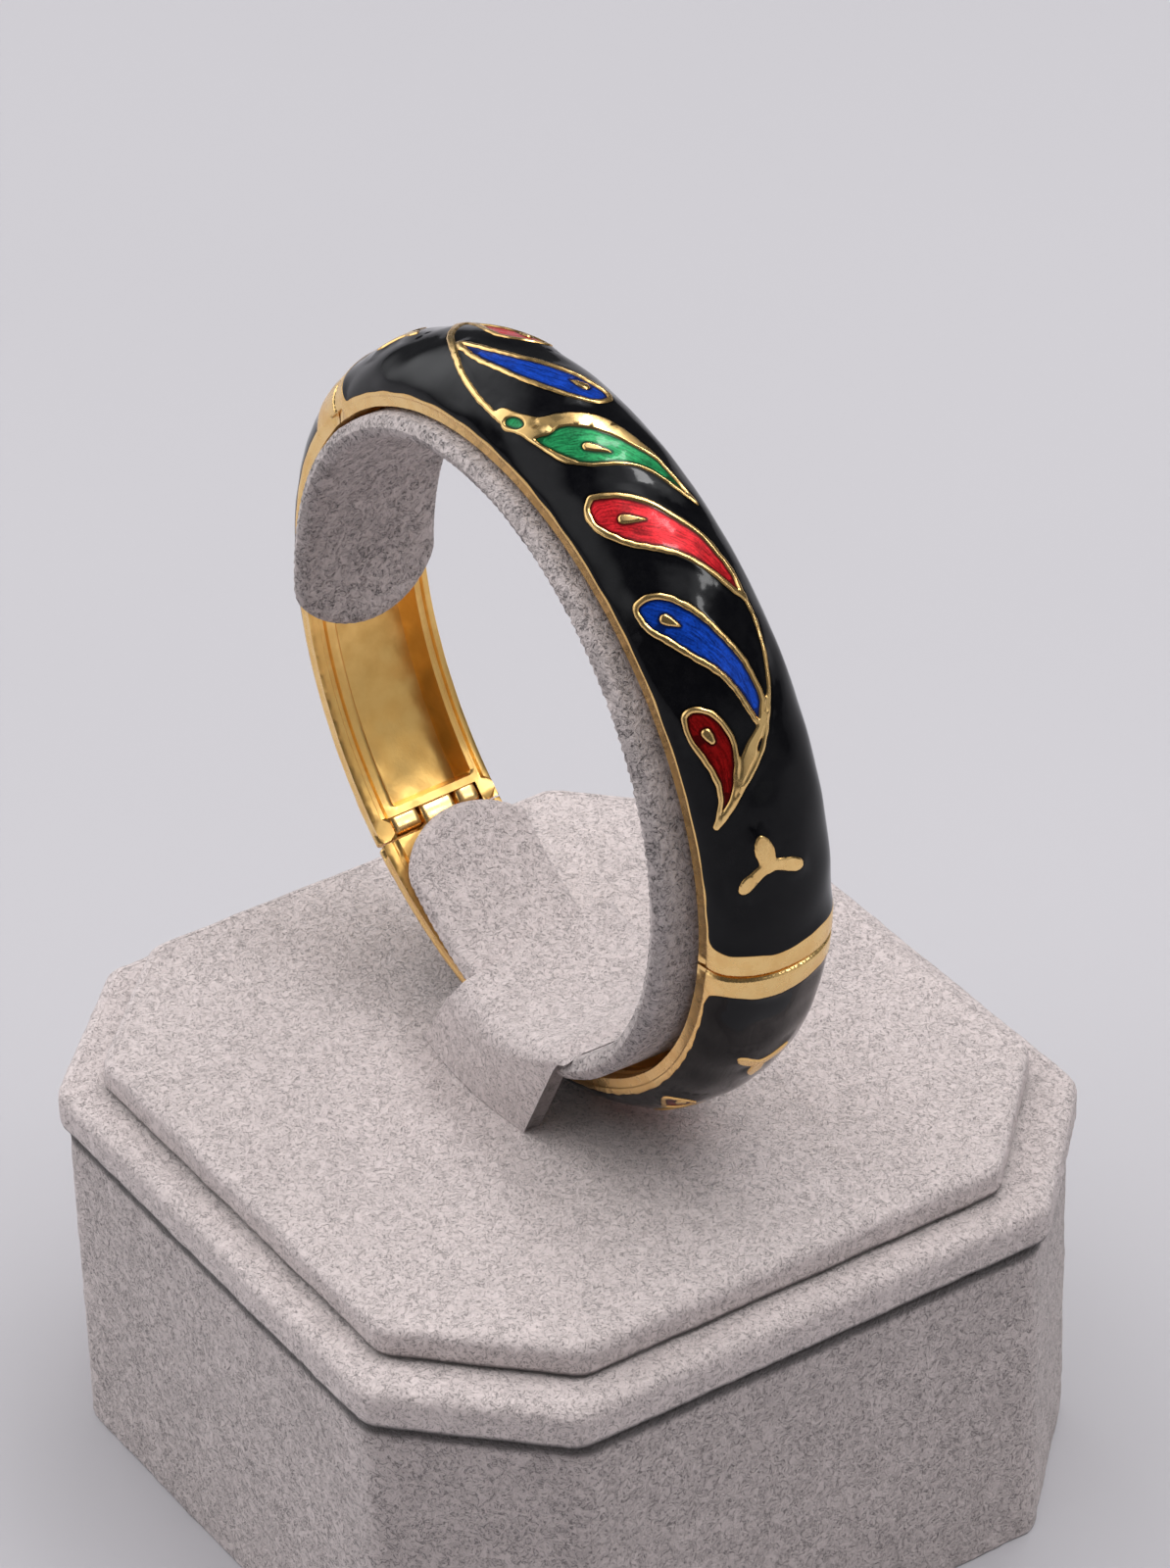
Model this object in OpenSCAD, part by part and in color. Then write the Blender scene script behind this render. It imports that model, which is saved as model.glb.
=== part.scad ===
// Hinged enamel bangle in three domed panels, standing on an octagonal suede display stand.
// Millimetres, +Z up, origin on the floor under the middle of the stand.
// Round the bangle, an angle of 0 is the right-hand side, 90 the top and 180 the left-hand side.

/* [Bangle] */
// Inside diameter of the bangle
inner_d = 58; // [57.4:0.2:58.6]
// Width of the bangle from rim to rim
bangle_w = 11.8; // [11.4:0.1:12.2]
// Height of the straight side wall at each rim
side_wall = 0.9; // [0.8:0.05:1]
// Height of the crown above the inside of the bangle
crown = 4.5; // [4.4:0.05:4.6]
// How far the top of the bangle leans to the front, in degrees
lean = 2; // [0:0.5:2]

/* [Panels] */
// Angle of the clasp seam between the front and the lower panel
clasp_seam = -9.3; // [-11:0.1:-8]
// Angle of the hinge seam between the front and the back panel
front_seam = 135; // [134:0.1:136]
// Angle of the hinge seam between the back and the lower panel
back_seam = 227.6; // [226:0.1:229]
// Gap between the two panels at the clasp
clasp_gap = 0.25; // [0.2:0.01:0.3]
// Length of bare gold band on each side of the clasp seam
clasp_band = 2.3; // [2:0.1:2.6]
// Length of bare gold band from a hinge seam to the enamel of the front or the lower panel
hinge_band = 1.3; // [1:0.1:1.6]
// Length of bare gold band from a hinge pin to the enamel of the back panel
pin_band = 2.7; // [2.4:0.1:3]
// Thickness of the wall at each end of a panel
end_wall = 1.6; // [1.4:0.1:1.8]
// Width of the open pocket in the back of each panel
pocket_w = 8; // [7.6:0.1:8.2]
// Depth of that pocket
pocket_depth = 2.6; // [2.4:0.05:2.6]

/* [Enamel] */
// Depth of the sunk field that the enamel fills
field_depth = 0.45; // [0.4:0.01:0.5]
// Width of the gold lip that is left beside the enamel at each rim
lip = 0.25; // [0.2:0.05:0.35]
// Width of the gold wall round each leaf
cell_wall = 0.5; // [0.4:0.05:0.6]
// How far the gold walls and seeds stand above the enamel
relief = 0.12; // [0.08:0.01:0.16]
// Gap between the enamel and the gold
enamel_gap = 0.04; // [0.03:0.01:0.05]

/* [Hinges and clasp] */
// Radius of a hinge barrel
barrel_r = 1; // [0.95:0.01:1]
// Radius of the hinge pin
pin_r = 0.35; // [0.3:0.01:0.36]
// Running gap round the hinge pin
pin_gap = 0.05; // [0.04:0.01:0.06]
// Half the length of the row of barrels
barrel_reach = 4.3; // [4.2:0.05:4.4]
// Half the length of the hinge pin
pin_reach = 3.3; // [3.2:0.05:3.3]
// Length of the clasp tongue beyond its panel
tongue_l = 2.4; // [2:0.1:2.6]
// Width of the clasp tongue
tongue_w = 3.6; // [3.2:0.1:4]

/* [Holder] */
// Outer radius of the curved holder that carries the bangle
holder_r = 28.4; // [28.2:0.1:28.4]
// Thickness of the holder
holder_t = 2; // [1.8:0.1:2.2]
// Width of the holder from front to back
holder_w = 13.3; // [12.8:0.1:13.6]
// How far the holder's middle stands in front of the middle of the stand
holder_forward = 1.65; // [1.5:0.05:1.8]
// Turn of the holder about the upright, in degrees
holder_turn = 1.4; // [0:0.1:1.6]
// Thickness of the strap
strap_t = 1; // [0.9:0.05:1.1]

/* [Stand] */
// Width of the top plate
plate_w = 67.5; // [66:0.5:69]
// Depth of the top plate from front to back
plate_d = 65; // [64:0.5:67]
// Thickness of the top plate
plate_t = 3.2; // [3:0.1:3.2]
// Length cut off each corner of the top plate, along each side
plate_corner = 11.9; // [11:0.1:13]
// How far the ledge stands out past the plate
ledge_out = 3.25; // [3:0.05:3.6]
// Thickness of the ledge
ledge_t = 4; // [3.8:0.1:4]
// How far the body is set back under the ledge
body_inset = 0.6; // [0.4:0.1:0.8]
// Height of the body
body_h = 31.35; // [31:0.05:31.4]

/* [Hidden] */
$fn = 96;

inner_r = inner_d / 2;
outer_r = inner_r + crown;
half_w = bangle_w / 2;
dome_rise = crown - side_wall;
mm_per_deg = PI * outer_r / 180;
sheet_gap = 0.05;
ledge_z = body_h + sheet_gap;
plate_z = ledge_z + ledge_t + sheet_gap;
plate_top = plate_z + plate_t;
ring_z = plate_top + outer_r + 0.25;
dome_steps = 12;

// Stepped inside of the rims: how far out the step goes, and where it starts and ends across
step_depth = 0.25;
step_from = 4.35;
step_to = 4.95;
step_slope = 0.15;
pocket_slope = 0.2;
cut_over = 1;
field_over = 0.4;

// Hinge sizes. Those along the bangle are measured from the middle of the pin: where the front or the
// lower panel starts, where the back panel ends, and where the middle barrel lies across the bangle
barrel_drop = 0.2;
hinge_r = outer_r - barrel_drop - barrel_r;
seam_gap = 0.2;
barrel_gap = 0.15;
arm_start = barrel_r + barrel_gap;
block_end = arm_start - seam_gap;
barrel_mid = [-1.35, 1.95];
web_depth = 3;
foot_depth = 1.5;
root = 0.6;
pin_over = 0.1;
hinge_step = (block_end + arm_start) / 2 / hinge_r * 180 / PI;
front_hinge = front_seam + hinge_step;
back_hinge = back_seam - hinge_step;

// Tongue of the clasp, and the room that its slot leaves over and beside it. The slot is open inwards
tongue_r = inner_r + 0.5;
tongue_t = 0.6;
slot_over = 1.3;
slot_side = 1.3;

wall_deg = end_wall / inner_r * 180 / PI;
gap_deg = clasp_gap / 2 / outer_r * 180 / PI;
hinge_reach_deg = 3;
dome_reach_deg = 6;
field_half = half_w - lip;

// How far the enamel's top lies below the gold dome, its underside, and how deep the gold lines are set
enamel_drop = 0.02;
enamel_floor = field_depth - 0.03;
line_root = 0.15;
leaf_reach_deg = 16;

// Where each panel starts and ends at its seams, and where its enamel does
front_span = [clasp_seam + gap_deg, front_seam];
lower_span = [back_seam - 360, clasp_seam - gap_deg];
front_field = [clasp_seam + clasp_band / mm_per_deg, front_seam - hinge_band / mm_per_deg];
lower_field = [back_seam - 360 + hinge_band / mm_per_deg, clasp_seam - clasp_band / mm_per_deg];
back_field = [front_hinge + pin_band / mm_per_deg, back_hinge - pin_band / mm_per_deg];

// Holder: its two arms meet under the strap, where the lower one is turned towards the back. Columns of
// an arm: the angle of its round end, that end's radius and place across, the side it lies on, half the
// arm's width and its outer radius
holder_in = holder_r - holder_t;
holder_half = holder_w / 2;
holder_bend = -62;
bend_turn = 5.2;
bend_overlap = 1.5;
upper_arm = [173.8, 7.2, -0.2, 1, holder_half, holder_r];
lower_slimmer = 0.6;
lower_inset = 0.3;
lower_arm = [-119.1, 7, 0.6, -1, holder_half - lower_slimmer, holder_r - lower_inset];
holder_over = 18;
holder_soft = 0.5;

// Strap: the angles between which it crosses the holder, its gaps and reach, and the ends of its foot
strap_ends = [-103, -57];
strap_gap = 0.2;
strap_clearance = 0.5;
strap_out = holder_in - strap_clearance;
strap_in = strap_out - strap_t;
strap_front = holder_half + strap_gap;
strap_back = 9.5;
strap_foot = [-9, 7.6];
foot_gap = 0.02;

// How much longer the cut corners of the ledge and the body are than those of the plate
corner_extra = 0.7;

// Leaves. Columns: angle and across of the head, angle and across of the tip, head radius, bow, colour
RED = "#b0142a";
DARK_RED = "#7d0c12";
BLUE = "#1238b4";
GREEN = "#0f7a3e";
GOLD = "#d9a441";
BLACK = "#101012";
SUEDE = "#c2b9b7";
DARK_SUEDE = "#b3aaa8";
front_leaves = [
    [99.0, 4.00, 112.0, 1.70, 1.05, 0.30, RED],
    [82.6, 2.75, 104.6, -1.30, 1.45, 0.45, BLUE],
    [74.6, -1.95, 59.6, 4.05, 1.95, 0.60, GREEN],
    [62.2, -2.65, 44.9, 3.35, 1.75, 0.75, RED],
    [46.8, -3.45, 28.4, 0.45, 1.40, 1.10, BLUE],
    [30.8, -3.70, 17.5, -4.65, 1.20, 0.95, DARK_RED]
];
lower_leaves = [
    [-48.0, -3.70, -34.5, -1.60, 1.20, -0.60, DARK_RED],
    [-60.0, -2.40, -45.5, 2.40, 1.50, -0.80, BLUE],
    [-76.0, -1.60, -58.5, 3.60, 1.65, -0.80, RED],
    [-90.0, 1.60, -107.0, -3.20, 1.65, -0.80, GREEN],
    [-104.0, 3.30, -117.0, 0.40, 1.20, -0.60, BLUE]
];
back_leaves = [
    [161.0, 3.20, 148.5, 0.20, 1.20, -0.60, RED],
    [174.0, 1.60, 157.0, -3.20, 1.65, -0.80, BLUE],
    [188.0, -1.60, 205.0, 3.20, 1.65, -0.80, GREEN],
    [202.0, -3.20, 214.5, -0.20, 1.20, -0.60, DARK_RED]
];

// Stems. Columns: angle and across of the start, of two points that pull the curve, and of the end
front_stems = [
    [113.0, 2.0, 110.5, -1.8, 99.0, -4.6, 84.5, -4.5],
    [44.9, 3.4, 37.5, 3.8, 27.5, 1.3, 16.8, -4.6]
];
lower_stems = [
    [-45.5, 2.4, -42.0, 1.9, -37.0, 0.4, -34.0, -1.8],
    [-107.0, -3.2, -110.5, -2.6, -114.0, -1.4, -117.2, 0.6]
];
back_stems = [
    [157.0, -3.2, 153.0, -2.8, 150.5, -1.4, 148.2, 0.3],
    [205.0, 3.2, 209.0, 2.8, 211.5, 1.4, 214.8, -0.3]
];
stem_w = 0.5;

// Small three-petal sprigs. Columns: angle and across of the middle, 1 or -1 for the way its bud points
front_sprigs = [[9.0, -1.6, 1], [121.5, -0.6, -1]];
lower_sprigs = [[-31.0, -0.6, 1], [-121.0, -0.4, -1]];
back_sprigs = [[144.5, -0.6, 1], [218.5, -0.4, -1]];

// Petals of a sprig. Columns: angle and across of the head, angle and across of the tip, radius, bow
petals = [
    [1.0, -0.1, 3.6, -0.35, 0.50, 0],
    [-0.3, -0.4, -3.0, -2.2, 0.42, 0.25],
    [-0.5, 0.4, -2.2, 2.6, 0.42, -0.3]
];

// Radius of the domed outside at a place across the bangle, or of a skin that lies drop below it
function dome_r(y, drop = 0) =
    inner_r + side_wall
    + (dome_rise - drop) * sqrt(max(0, 1 - pow(y / (half_w - drop), 2)));

// Points of that skin from one side to the other
function skin(drop, y_max) = [
    for (i = [0:dome_steps])
    let (y = y_max * sin(-90 + 180 * i / dome_steps))
    [dome_r(y, drop), y]
];

function reversed(list) = [for (i = [len(list) - 1:-1:0]) list[i]];
function unit(v) = v / norm(v);
function unrolled(angle, across) = [angle * mm_per_deg, across];
function rolled(p) = [p[0] / mm_per_deg, p[1]];
function bezier(p0, p1, p2, t) = (1 - t) * (1 - t) * p0 + 2 * t * (1 - t) * p1 + t * t * p2;
function bezier_way(p0, p1, p2, t) = unit((1 - t) * (p1 - p0) + t * (p2 - p1));

// Outline of a leaf: a round head that narrows along a bowed middle line to its tip
function leaf_outline(leaf, grow) =
    let (
        head = unrolled(leaf[0], leaf[1]),
        tip = unrolled(leaf[2], leaf[3]),
        way = unit(tip - head),
        pull = (head + tip) / 2 + 2 * leaf[5] * [way[1], -way[0]],
        start = bezier_way(head, pull, tip, 0),
        turn = atan2(start[1], start[0]),
        r = leaf[4] + grow,
        steps = [0.18, 0.38, 0.58, 0.78],
        taper = 2.2,
        arc = [for (k = [0:6]) head + r * [cos(turn + 90 + 30 * k), sin(turn + 90 + 30 * k)]],
        sides = [for (side = [-1, 1]) [
            for (t = steps)
            let (w = bezier_way(head, pull, tip, t), half = leaf[4] * (1 - pow(t, taper)) + grow)
            bezier(head, pull, tip, t) + side * half * [-w[1], w[0]]
        ]],
        end = tip + 1.5 * max(grow, 0) * bezier_way(head, pull, tip, 1)
    )
    [for (p = concat(arc, sides[0], [end], reversed(sides[1]))) rolled(p)];

// Outline of the gold seed in a leaf's head
function seed_outline(leaf, grow) =
    let (
        head = unrolled(leaf[0], leaf[1]),
        tip = unrolled(leaf[2], leaf[3]),
        way = unit(tip - head),
        turn = atan2(way[1], way[0]),
        half_l = min(0.95, leaf[4] * 0.55),
        half = min(0.38, leaf[4] * 0.24)
    )
    [for (k = [0:7]) rolled(head + (half_l + grow) * cos(45 * k) * way
        + (half + grow) * sin(45 * k) * [-way[1], way[0]])];

// Outline of a ribbon that follows a stem
function stem_outline(stem, grow) =
    let (
        p = [for (i = [0:3]) unrolled(stem[2 * i], stem[2 * i + 1])],
        line = [for (t = [0:0.125:1]) pow(1 - t, 3) * p[0] + 3 * t * pow(1 - t, 2) * p[1]
            + 3 * t * t * (1 - t) * p[2] + pow(t, 3) * p[3]],
        last = len(line) - 1,
        half = stem_w / 2 + grow,
        ways = [for (i = [0:last]) unit(line[min(i + 1, last)] - line[max(i - 1, 0)])],
        edge = [for (side = [-1, 1]) [for (i = [0:last]) line[i]
            + side * half * [-ways[i][1], ways[i][0]]]]
    )
    [for (p = concat(edge[0], reversed(edge[1]))) rolled(p)];

function petal(sprig, p) = [
    sprig[0] + sprig[2] * p[0], sprig[1] + p[1],
    sprig[0] + sprig[2] * p[2], sprig[1] + p[3], p[4], sprig[2] * p[5]
];

// Middle angle of an outline, which sets the way it is pressed through the dome
function middle(outline) =
    let (angles = [for (p = outline) p[0]]) (min(angles) + max(angles)) / 2;

// Puts its children in the bangle's own frame: centred, with its axis from front to back
module bangle_frame() {
    translate([0, 0, ring_z]) rotate([lean, 0, 0]) children();
}

// Turns a section of radius and place across into a stretch of ring
module around(from, to, section) {
    rotate([90, 0, 0]) rotate([0, 0, from]) rotate_extrude(angle = to - from)
        polygon([for (p = section) [p[0], -p[1]]]);
}

// Ring between two skins of the dome
module layer(from, to, top, bottom, y_max) {
    around(from, to, concat(skin(top, y_max), reversed(skin(bottom, y_max))));
}

// Presses an outline of angles and places across through the dome
module stamp(outline) {
    mid = middle(outline);
    rotate([0, 90 - mid, 0]) translate([0, 0, inner_r]) linear_extrude(crown + 2)
        polygon([for (p = outline) [dome_r(p[1]) * sin(mid - p[0]), p[1]]]);
}

// Puts its children at a hinge: X outwards, Z along the bangle, origin on the pin's axis
module hinge_frame(angle) {
    rotate([0, -angle, 0]) translate([hinge_r, 0, 0]) children();
}

module box(x, y, z) {
    translate([x[0], y[0], z[0]]) cube([x[1] - x[0], y[1] - y[0], z[1] - z[0]]);
}

module across_rod(r, y) {
    translate([0, y[1], 0]) rotate([90, 0, 0]) cylinder(h = y[1] - y[0], r = r, $fn = 48);
}

// Solid domed ring with the straight side walls and the stepped inside of the rims
module domed_ring(from, to) {
    step_r = inner_r + step_depth;
    step = [[inner_r, step_to], [step_r, step_to - step_slope],
        [step_r, step_from + step_slope], [inner_r, step_from]];
    around(from, to, concat(
        [[inner_r, -half_w]], skin(0, half_w), [[inner_r, half_w]],
        step, [for (p = reversed(step)) [p[0], -p[1]]]
    ));
}

module pocket(from, to) {
    half = pocket_w / 2;
    floor_r = inner_r + pocket_depth;
    around(from, to, [[inner_r - cut_over, -half], [floor_r, -half + pocket_slope],
        [floor_r, half - pocket_slope], [inner_r - cut_over, half]]);
}

// One panel with its pocket and sunk field, before its ends are cut
module panel_shell(from, to, pocket_span, field) {
    difference() {
        domed_ring(from, to);
        pocket(pocket_span[0], pocket_span[1]);
        layer(field[0], field[1], -field_over, field_depth, field_half);
    }
}

// Gold walls, seeds, stems and sprigs that stand in a field
module gold_lines(field, leaves, stems, sprigs) {
    intersection() {
        layer(field[0], field[1], -relief, field_depth + line_root, field_half);
        union() {
            for (leaf = leaves) difference() {
                stamp(leaf_outline(leaf, cell_wall / 2));
                stamp(leaf_outline(leaf, -cell_wall / 2));
            }
            for (leaf = leaves) stamp(seed_outline(leaf, 0));
            for (stem = stems) stamp(stem_outline(stem, 0));
            for (sprig = sprigs) for (p = petals) stamp(leaf_outline(petal(sprig, p), 0));
        }
    }
}

// Black enamel round the gold lines
module ground_enamel(field, leaves, stems, sprigs) {
    edge = enamel_gap / mm_per_deg;
    difference() {
        layer(field[0] + edge, field[1] - edge, enamel_drop, enamel_floor, field_half - enamel_gap);
        for (leaf = leaves) stamp(leaf_outline(leaf, cell_wall / 2 + enamel_gap));
        for (stem = stems) stamp(stem_outline(stem, enamel_gap));
        for (sprig = sprigs) for (p = petals) stamp(leaf_outline(petal(sprig, p), enamel_gap));
    }
}

// Coloured enamel inside one leaf's gold wall, round its seed and clear of the stems
module leaf_enamel(leaf, stems) {
    outline = leaf_outline(leaf, -cell_wall / 2 - enamel_gap);
    mid = middle(outline);
    color(leaf[6]) bangle_frame() difference() {
        intersection() {
            layer(mid - leaf_reach_deg, mid + leaf_reach_deg, enamel_drop, enamel_floor,
                field_half - enamel_gap);
            stamp(outline);
        }
        stamp(seed_outline(leaf, enamel_gap));
        for (stem = stems) stamp(stem_outline(stem, enamel_gap));
    }
}

// Middle knuckle that reaches out of a panel into the end of the back panel
module arm_knuckle() {
    difference() {
        union() {
            across_rod(barrel_r, barrel_mid);
            box([-web_depth, 0], barrel_mid, [barrel_drop - barrel_r, arm_start + root]);
        }
        pin_hole();
    }
}

// Room in the end of the back panel for the barrels and the middle knuckle
module block_recess() {
    over = 4 * barrel_r;
    box([-arm_start, over], [-barrel_reach - pin_over, barrel_reach + pin_over], [-arm_start, over]);
    box([-2 * crown, over], [barrel_mid[0] - barrel_gap, barrel_mid[1] + barrel_gap],
        [-arm_start, over]);
}

// Two outer barrels at the end of the back panel
module block_knuckles() {
    near = [-barrel_reach, barrel_mid[0] - barrel_gap];
    far = [barrel_mid[1] + barrel_gap, barrel_reach];
    for (y = [near, far]) {
        across_rod(barrel_r, y);
        box([-foot_depth, 0], y, [-arm_start - root / 2, barrel_r]);
    }
}

module pin_hole() {
    across_rod(pin_r + pin_gap, [-pin_reach - pin_over, pin_reach + pin_over]);
}

// Cuts off all that lies past a plane across the bangle at a hinge
module past(z) {
    reach = bangle_w;
    box([-reach, reach], [-reach, reach], [z, z + reach]);
}

module hinge_pin(angle) {
    color(GOLD) bangle_frame() hinge_frame(angle)
        across_rod(pin_r, [-pin_reach, pin_reach]);
}

// Panel between two hinges, seen from inside at the back left
module back_panel() {
    ends = [front_hinge - hinge_reach_deg, back_hinge + hinge_reach_deg];
    pocket_ends = [front_hinge + wall_deg, back_hinge - wall_deg];
    color(GOLD) bangle_frame() {
        difference() {
            union() {
                difference() {
                    panel_shell(ends[0], ends[1], pocket_ends, back_field);
                    for (side = [[front_hinge, 1], [back_hinge, 0]])
                        hinge_frame(side[0]) mirror([0, 0, side[1]]) {
                            past(block_end);
                            block_recess();
                        }
                }
                for (side = [[front_hinge, 1], [back_hinge, 0]]) intersection() {
                    hinge_frame(side[0]) mirror([0, 0, side[1]]) block_knuckles();
                    around(side[0] - dome_reach_deg, side[0] + dome_reach_deg,
                        concat([[inner_r, -half_w]], skin(0, half_w), [[inner_r, half_w]]));
                }
                gold_lines(back_field, back_leaves, back_stems, back_sprigs);
            }
            for (angle = [front_hinge, back_hinge]) hinge_frame(angle) pin_hole();
        }
    }
}

// Panel that runs from the clasp over the top to the front hinge, with the clasp tongue
module front_panel() {
    start = front_span[0];
    color(GOLD) bangle_frame() union() {
        difference() {
            panel_shell(start, front_hinge, [start + wall_deg, front_seam - wall_deg],
                front_field);
            hinge_frame(front_hinge) past(-arm_start);
        }
        hinge_frame(front_hinge) mirror([0, 0, 1]) arm_knuckle();
        gold_lines(front_field, front_leaves, front_stems, front_sprigs);
        rotate([0, -clasp_seam, 0]) box([tongue_r, tongue_r + tongue_t],
            [-tongue_w / 2, tongue_w / 2], [-tongue_l, root]);
    }
}

// Panel from the back hinge under the stand's strap to the clasp, with the slot for the tongue
module lower_panel() {
    end = lower_span[1];
    start = back_hinge - 360;
    color(GOLD) bangle_frame() difference() {
        union() {
            difference() {
                panel_shell(start, end, [lower_span[0] + wall_deg, end - wall_deg],
                    lower_field);
                hinge_frame(start) mirror([0, 0, 1]) past(-arm_start);
            }
            hinge_frame(start) arm_knuckle();
            gold_lines(lower_field, lower_leaves, lower_stems, lower_sprigs);
        }
        rotate([0, -clasp_seam, 0]) box([inner_r - cut_over, tongue_r + tongue_t + slot_over],
            [-tongue_w / 2 - slot_side, tongue_w / 2 + slot_side], [-tongue_l - root, cut_over]);
    }
}

module front_enamel() {
    color(BLACK) bangle_frame()
        ground_enamel(front_field, front_leaves, front_stems, front_sprigs);
}

module lower_enamel() {
    color(BLACK) bangle_frame()
        ground_enamel(lower_field, lower_leaves, lower_stems, lower_sprigs);
}

module back_enamel() {
    color(BLACK) bangle_frame()
        ground_enamel(back_field, back_leaves, back_stems, back_sprigs);
}

// Puts its children in the holder's frame: upright, centred on the bangle, turned a little
module holder_frame() {
    rotate([0, 0, -holder_turn]) translate([0, -holder_forward, ring_z]) children();
}

// One arm of the holder, from under the strap to its round end
module holder_arm(arm) {
    tip = arm[0];
    way = arm[3];
    half = arm[4];
    out = arm[5];
    soft = holder_soft;
    side = half + cut_over;
    start = holder_bend - way * bend_overlap;
    past_tip = tip + way * (holder_over + 2);
    difference() {
        around(min(start, tip + way * holder_over), max(start, tip + way * holder_over), [
            [holder_in, -half + soft], [holder_in + soft, -half],
            [out - soft, -half], [out, -half + soft],
            [out, half - soft], [out - soft, half],
            [holder_in + soft, half], [holder_in, half - soft]
        ]);
        difference() {
            around(min(tip, past_tip), max(tip, past_tip), [
                [holder_in - cut_over, -side], [out + cut_over, -side],
                [out + cut_over, side], [holder_in - cut_over, side]
            ]);
            rotate([0, 90 - tip, 0]) translate([0, arm[2], 0]) cylinder(h = 2 * out, r = arm[1]);
        }
    }
}

// C-shaped covered strip inside the bangle, with round ends either side of its gap
module holder_ring() {
    color(DARK_SUEDE) holder_frame() union() {
        holder_arm(upper_arm);
        rotate(a = bend_turn, v = [cos(holder_bend), 0, sin(holder_bend)]) holder_arm(lower_arm);
    }
}

// One end of the strap, flat from the holder's edge down to the plate
module flap(y) {
    corners = [for (a = strap_ends + [1, -1]) (strap_in - cut_over) * [cos(a), sin(a)]];
    foot_z = plate_top + foot_gap - ring_z;
    translate([0, y[1], 0]) rotate([90, 0, 0]) linear_extrude(y[1] - y[0]) difference() {
        polygon([[strap_foot[0], foot_z], [strap_foot[1], foot_z], corners[1], corners[0]]);
        circle(r = strap_in + strap_t / 2);
    }
}

// Strap over the bottom of the holder, folded down to the plate in front and behind
module holder_strap() {
    y = [-strap_front - strap_t, strap_back + strap_t];
    color(SUEDE) holder_frame() union() {
        around(strap_ends[0], strap_ends[1],
            [[strap_in, y[0]], [strap_out, y[0]], [strap_out, y[1]], [strap_in, y[1]]]);
        flap([y[0], y[0] + strap_t]);
        flap([y[1] - strap_t, y[1]]);
    }
}

// Block with its four corners cut off
module cut_block(w, d, corner, z, h) {
    x = w / 2;
    y = d / 2;
    translate([0, 0, z]) linear_extrude(h) polygon([
        [x, -y + corner], [x, y - corner], [x - corner, y], [-x + corner, y],
        [-x, y - corner], [-x, -y + corner], [-x + corner, -y], [x - corner, -y]
    ]);
}

module stand_plate() {
    color(SUEDE) cut_block(plate_w, plate_d, plate_corner, plate_z, plate_t);
}

module stand_ledge() {
    out = 2 * ledge_out;
    color(SUEDE)
        cut_block(plate_w + out, plate_d + out, plate_corner + corner_extra, ledge_z, ledge_t);
}

module stand_body() {
    out = 2 * (ledge_out - body_inset);
    color(DARK_SUEDE)
        cut_block(plate_w + out, plate_d + out, plate_corner + corner_extra, 0, body_h);
}

stand_body();
stand_ledge();
stand_plate();
holder_ring();
holder_strap();
lower_panel();
back_panel();
front_panel();
hinge_pin(back_hinge);  // back_hinge_pin
hinge_pin(front_hinge);  // front_hinge_pin
lower_enamel();
back_enamel();
front_enamel();
for (i = [1:len(front_leaves)])
    leaf_enamel(front_leaves[i - 1], front_stems);
for (i = [1:len(lower_leaves)])
    leaf_enamel(lower_leaves[i - 1], lower_stems);
for (i = [1:len(back_leaves)])
    leaf_enamel(back_leaves[i - 1], back_stems);
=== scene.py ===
"""Dresses a hinged enamel bangle on its suede display stand, in the frame of the CAD model.

Run as a script. It is laid out as an add-on: sizes and colours in property groups, one operator for
each piece or group of like pieces, and one panel in the sidebar of the 3D view.
"""

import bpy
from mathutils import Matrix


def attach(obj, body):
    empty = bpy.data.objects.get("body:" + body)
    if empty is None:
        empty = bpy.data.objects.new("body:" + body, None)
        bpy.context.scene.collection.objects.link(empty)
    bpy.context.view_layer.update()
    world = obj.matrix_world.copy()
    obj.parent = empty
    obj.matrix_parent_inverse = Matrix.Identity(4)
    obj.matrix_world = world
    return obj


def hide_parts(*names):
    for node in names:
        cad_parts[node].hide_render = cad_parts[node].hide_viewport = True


bl_info = {
    "name": "Hinged Enamel Bangle",
    "version": (1, 0, 0),
    "blender": (4, 5, 0),
    "location": "3D View > Sidebar > Bangle",
    "description": "Builds a gold and enamel bangle, its holder and its suede stand",
    "category": "Object",
}

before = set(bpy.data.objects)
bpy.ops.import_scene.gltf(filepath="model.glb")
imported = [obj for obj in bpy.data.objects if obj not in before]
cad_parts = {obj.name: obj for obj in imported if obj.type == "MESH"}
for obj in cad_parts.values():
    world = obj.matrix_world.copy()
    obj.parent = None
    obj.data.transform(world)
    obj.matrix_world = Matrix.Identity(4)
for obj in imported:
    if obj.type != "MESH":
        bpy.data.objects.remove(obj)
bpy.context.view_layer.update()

import math
import random

import bmesh
import bpy
import numpy as np
from bpy.props import FloatProperty, FloatVectorProperty, PointerProperty
from mathutils import Matrix, Vector
from mathutils.geometry import delaunay_2d_cdt

# All shapes below are worked out in millimetres and degrees and turned to metres in shown().
MM = 0.001
LEAN = math.radians(2.0)          # the bangle leans back a little against its holder
RING_Z = 72.40                    # height of the bangle's centre over the floor
FLAT_R = 33.0                     # radius at which the dome is unrolled
DEG = math.pi * FLAT_R / 180      # millimetres along the unrolled dome for one degree
HINGE_R = 32.3                    # distance of both hinge pins from the centre
FRONT_HINGE, BACK_HINGE = 136.86, 225.74
PLATE_TOP = 38.65
HOLDER_TURN, HOLDER_Y = math.radians(-1.4), 1.65      # the holder's turn and its place across

# Shared drawing tools


def unit(x):
    """Keeps values between 0 and 1."""
    return np.clip(x, 0, 1)


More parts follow.
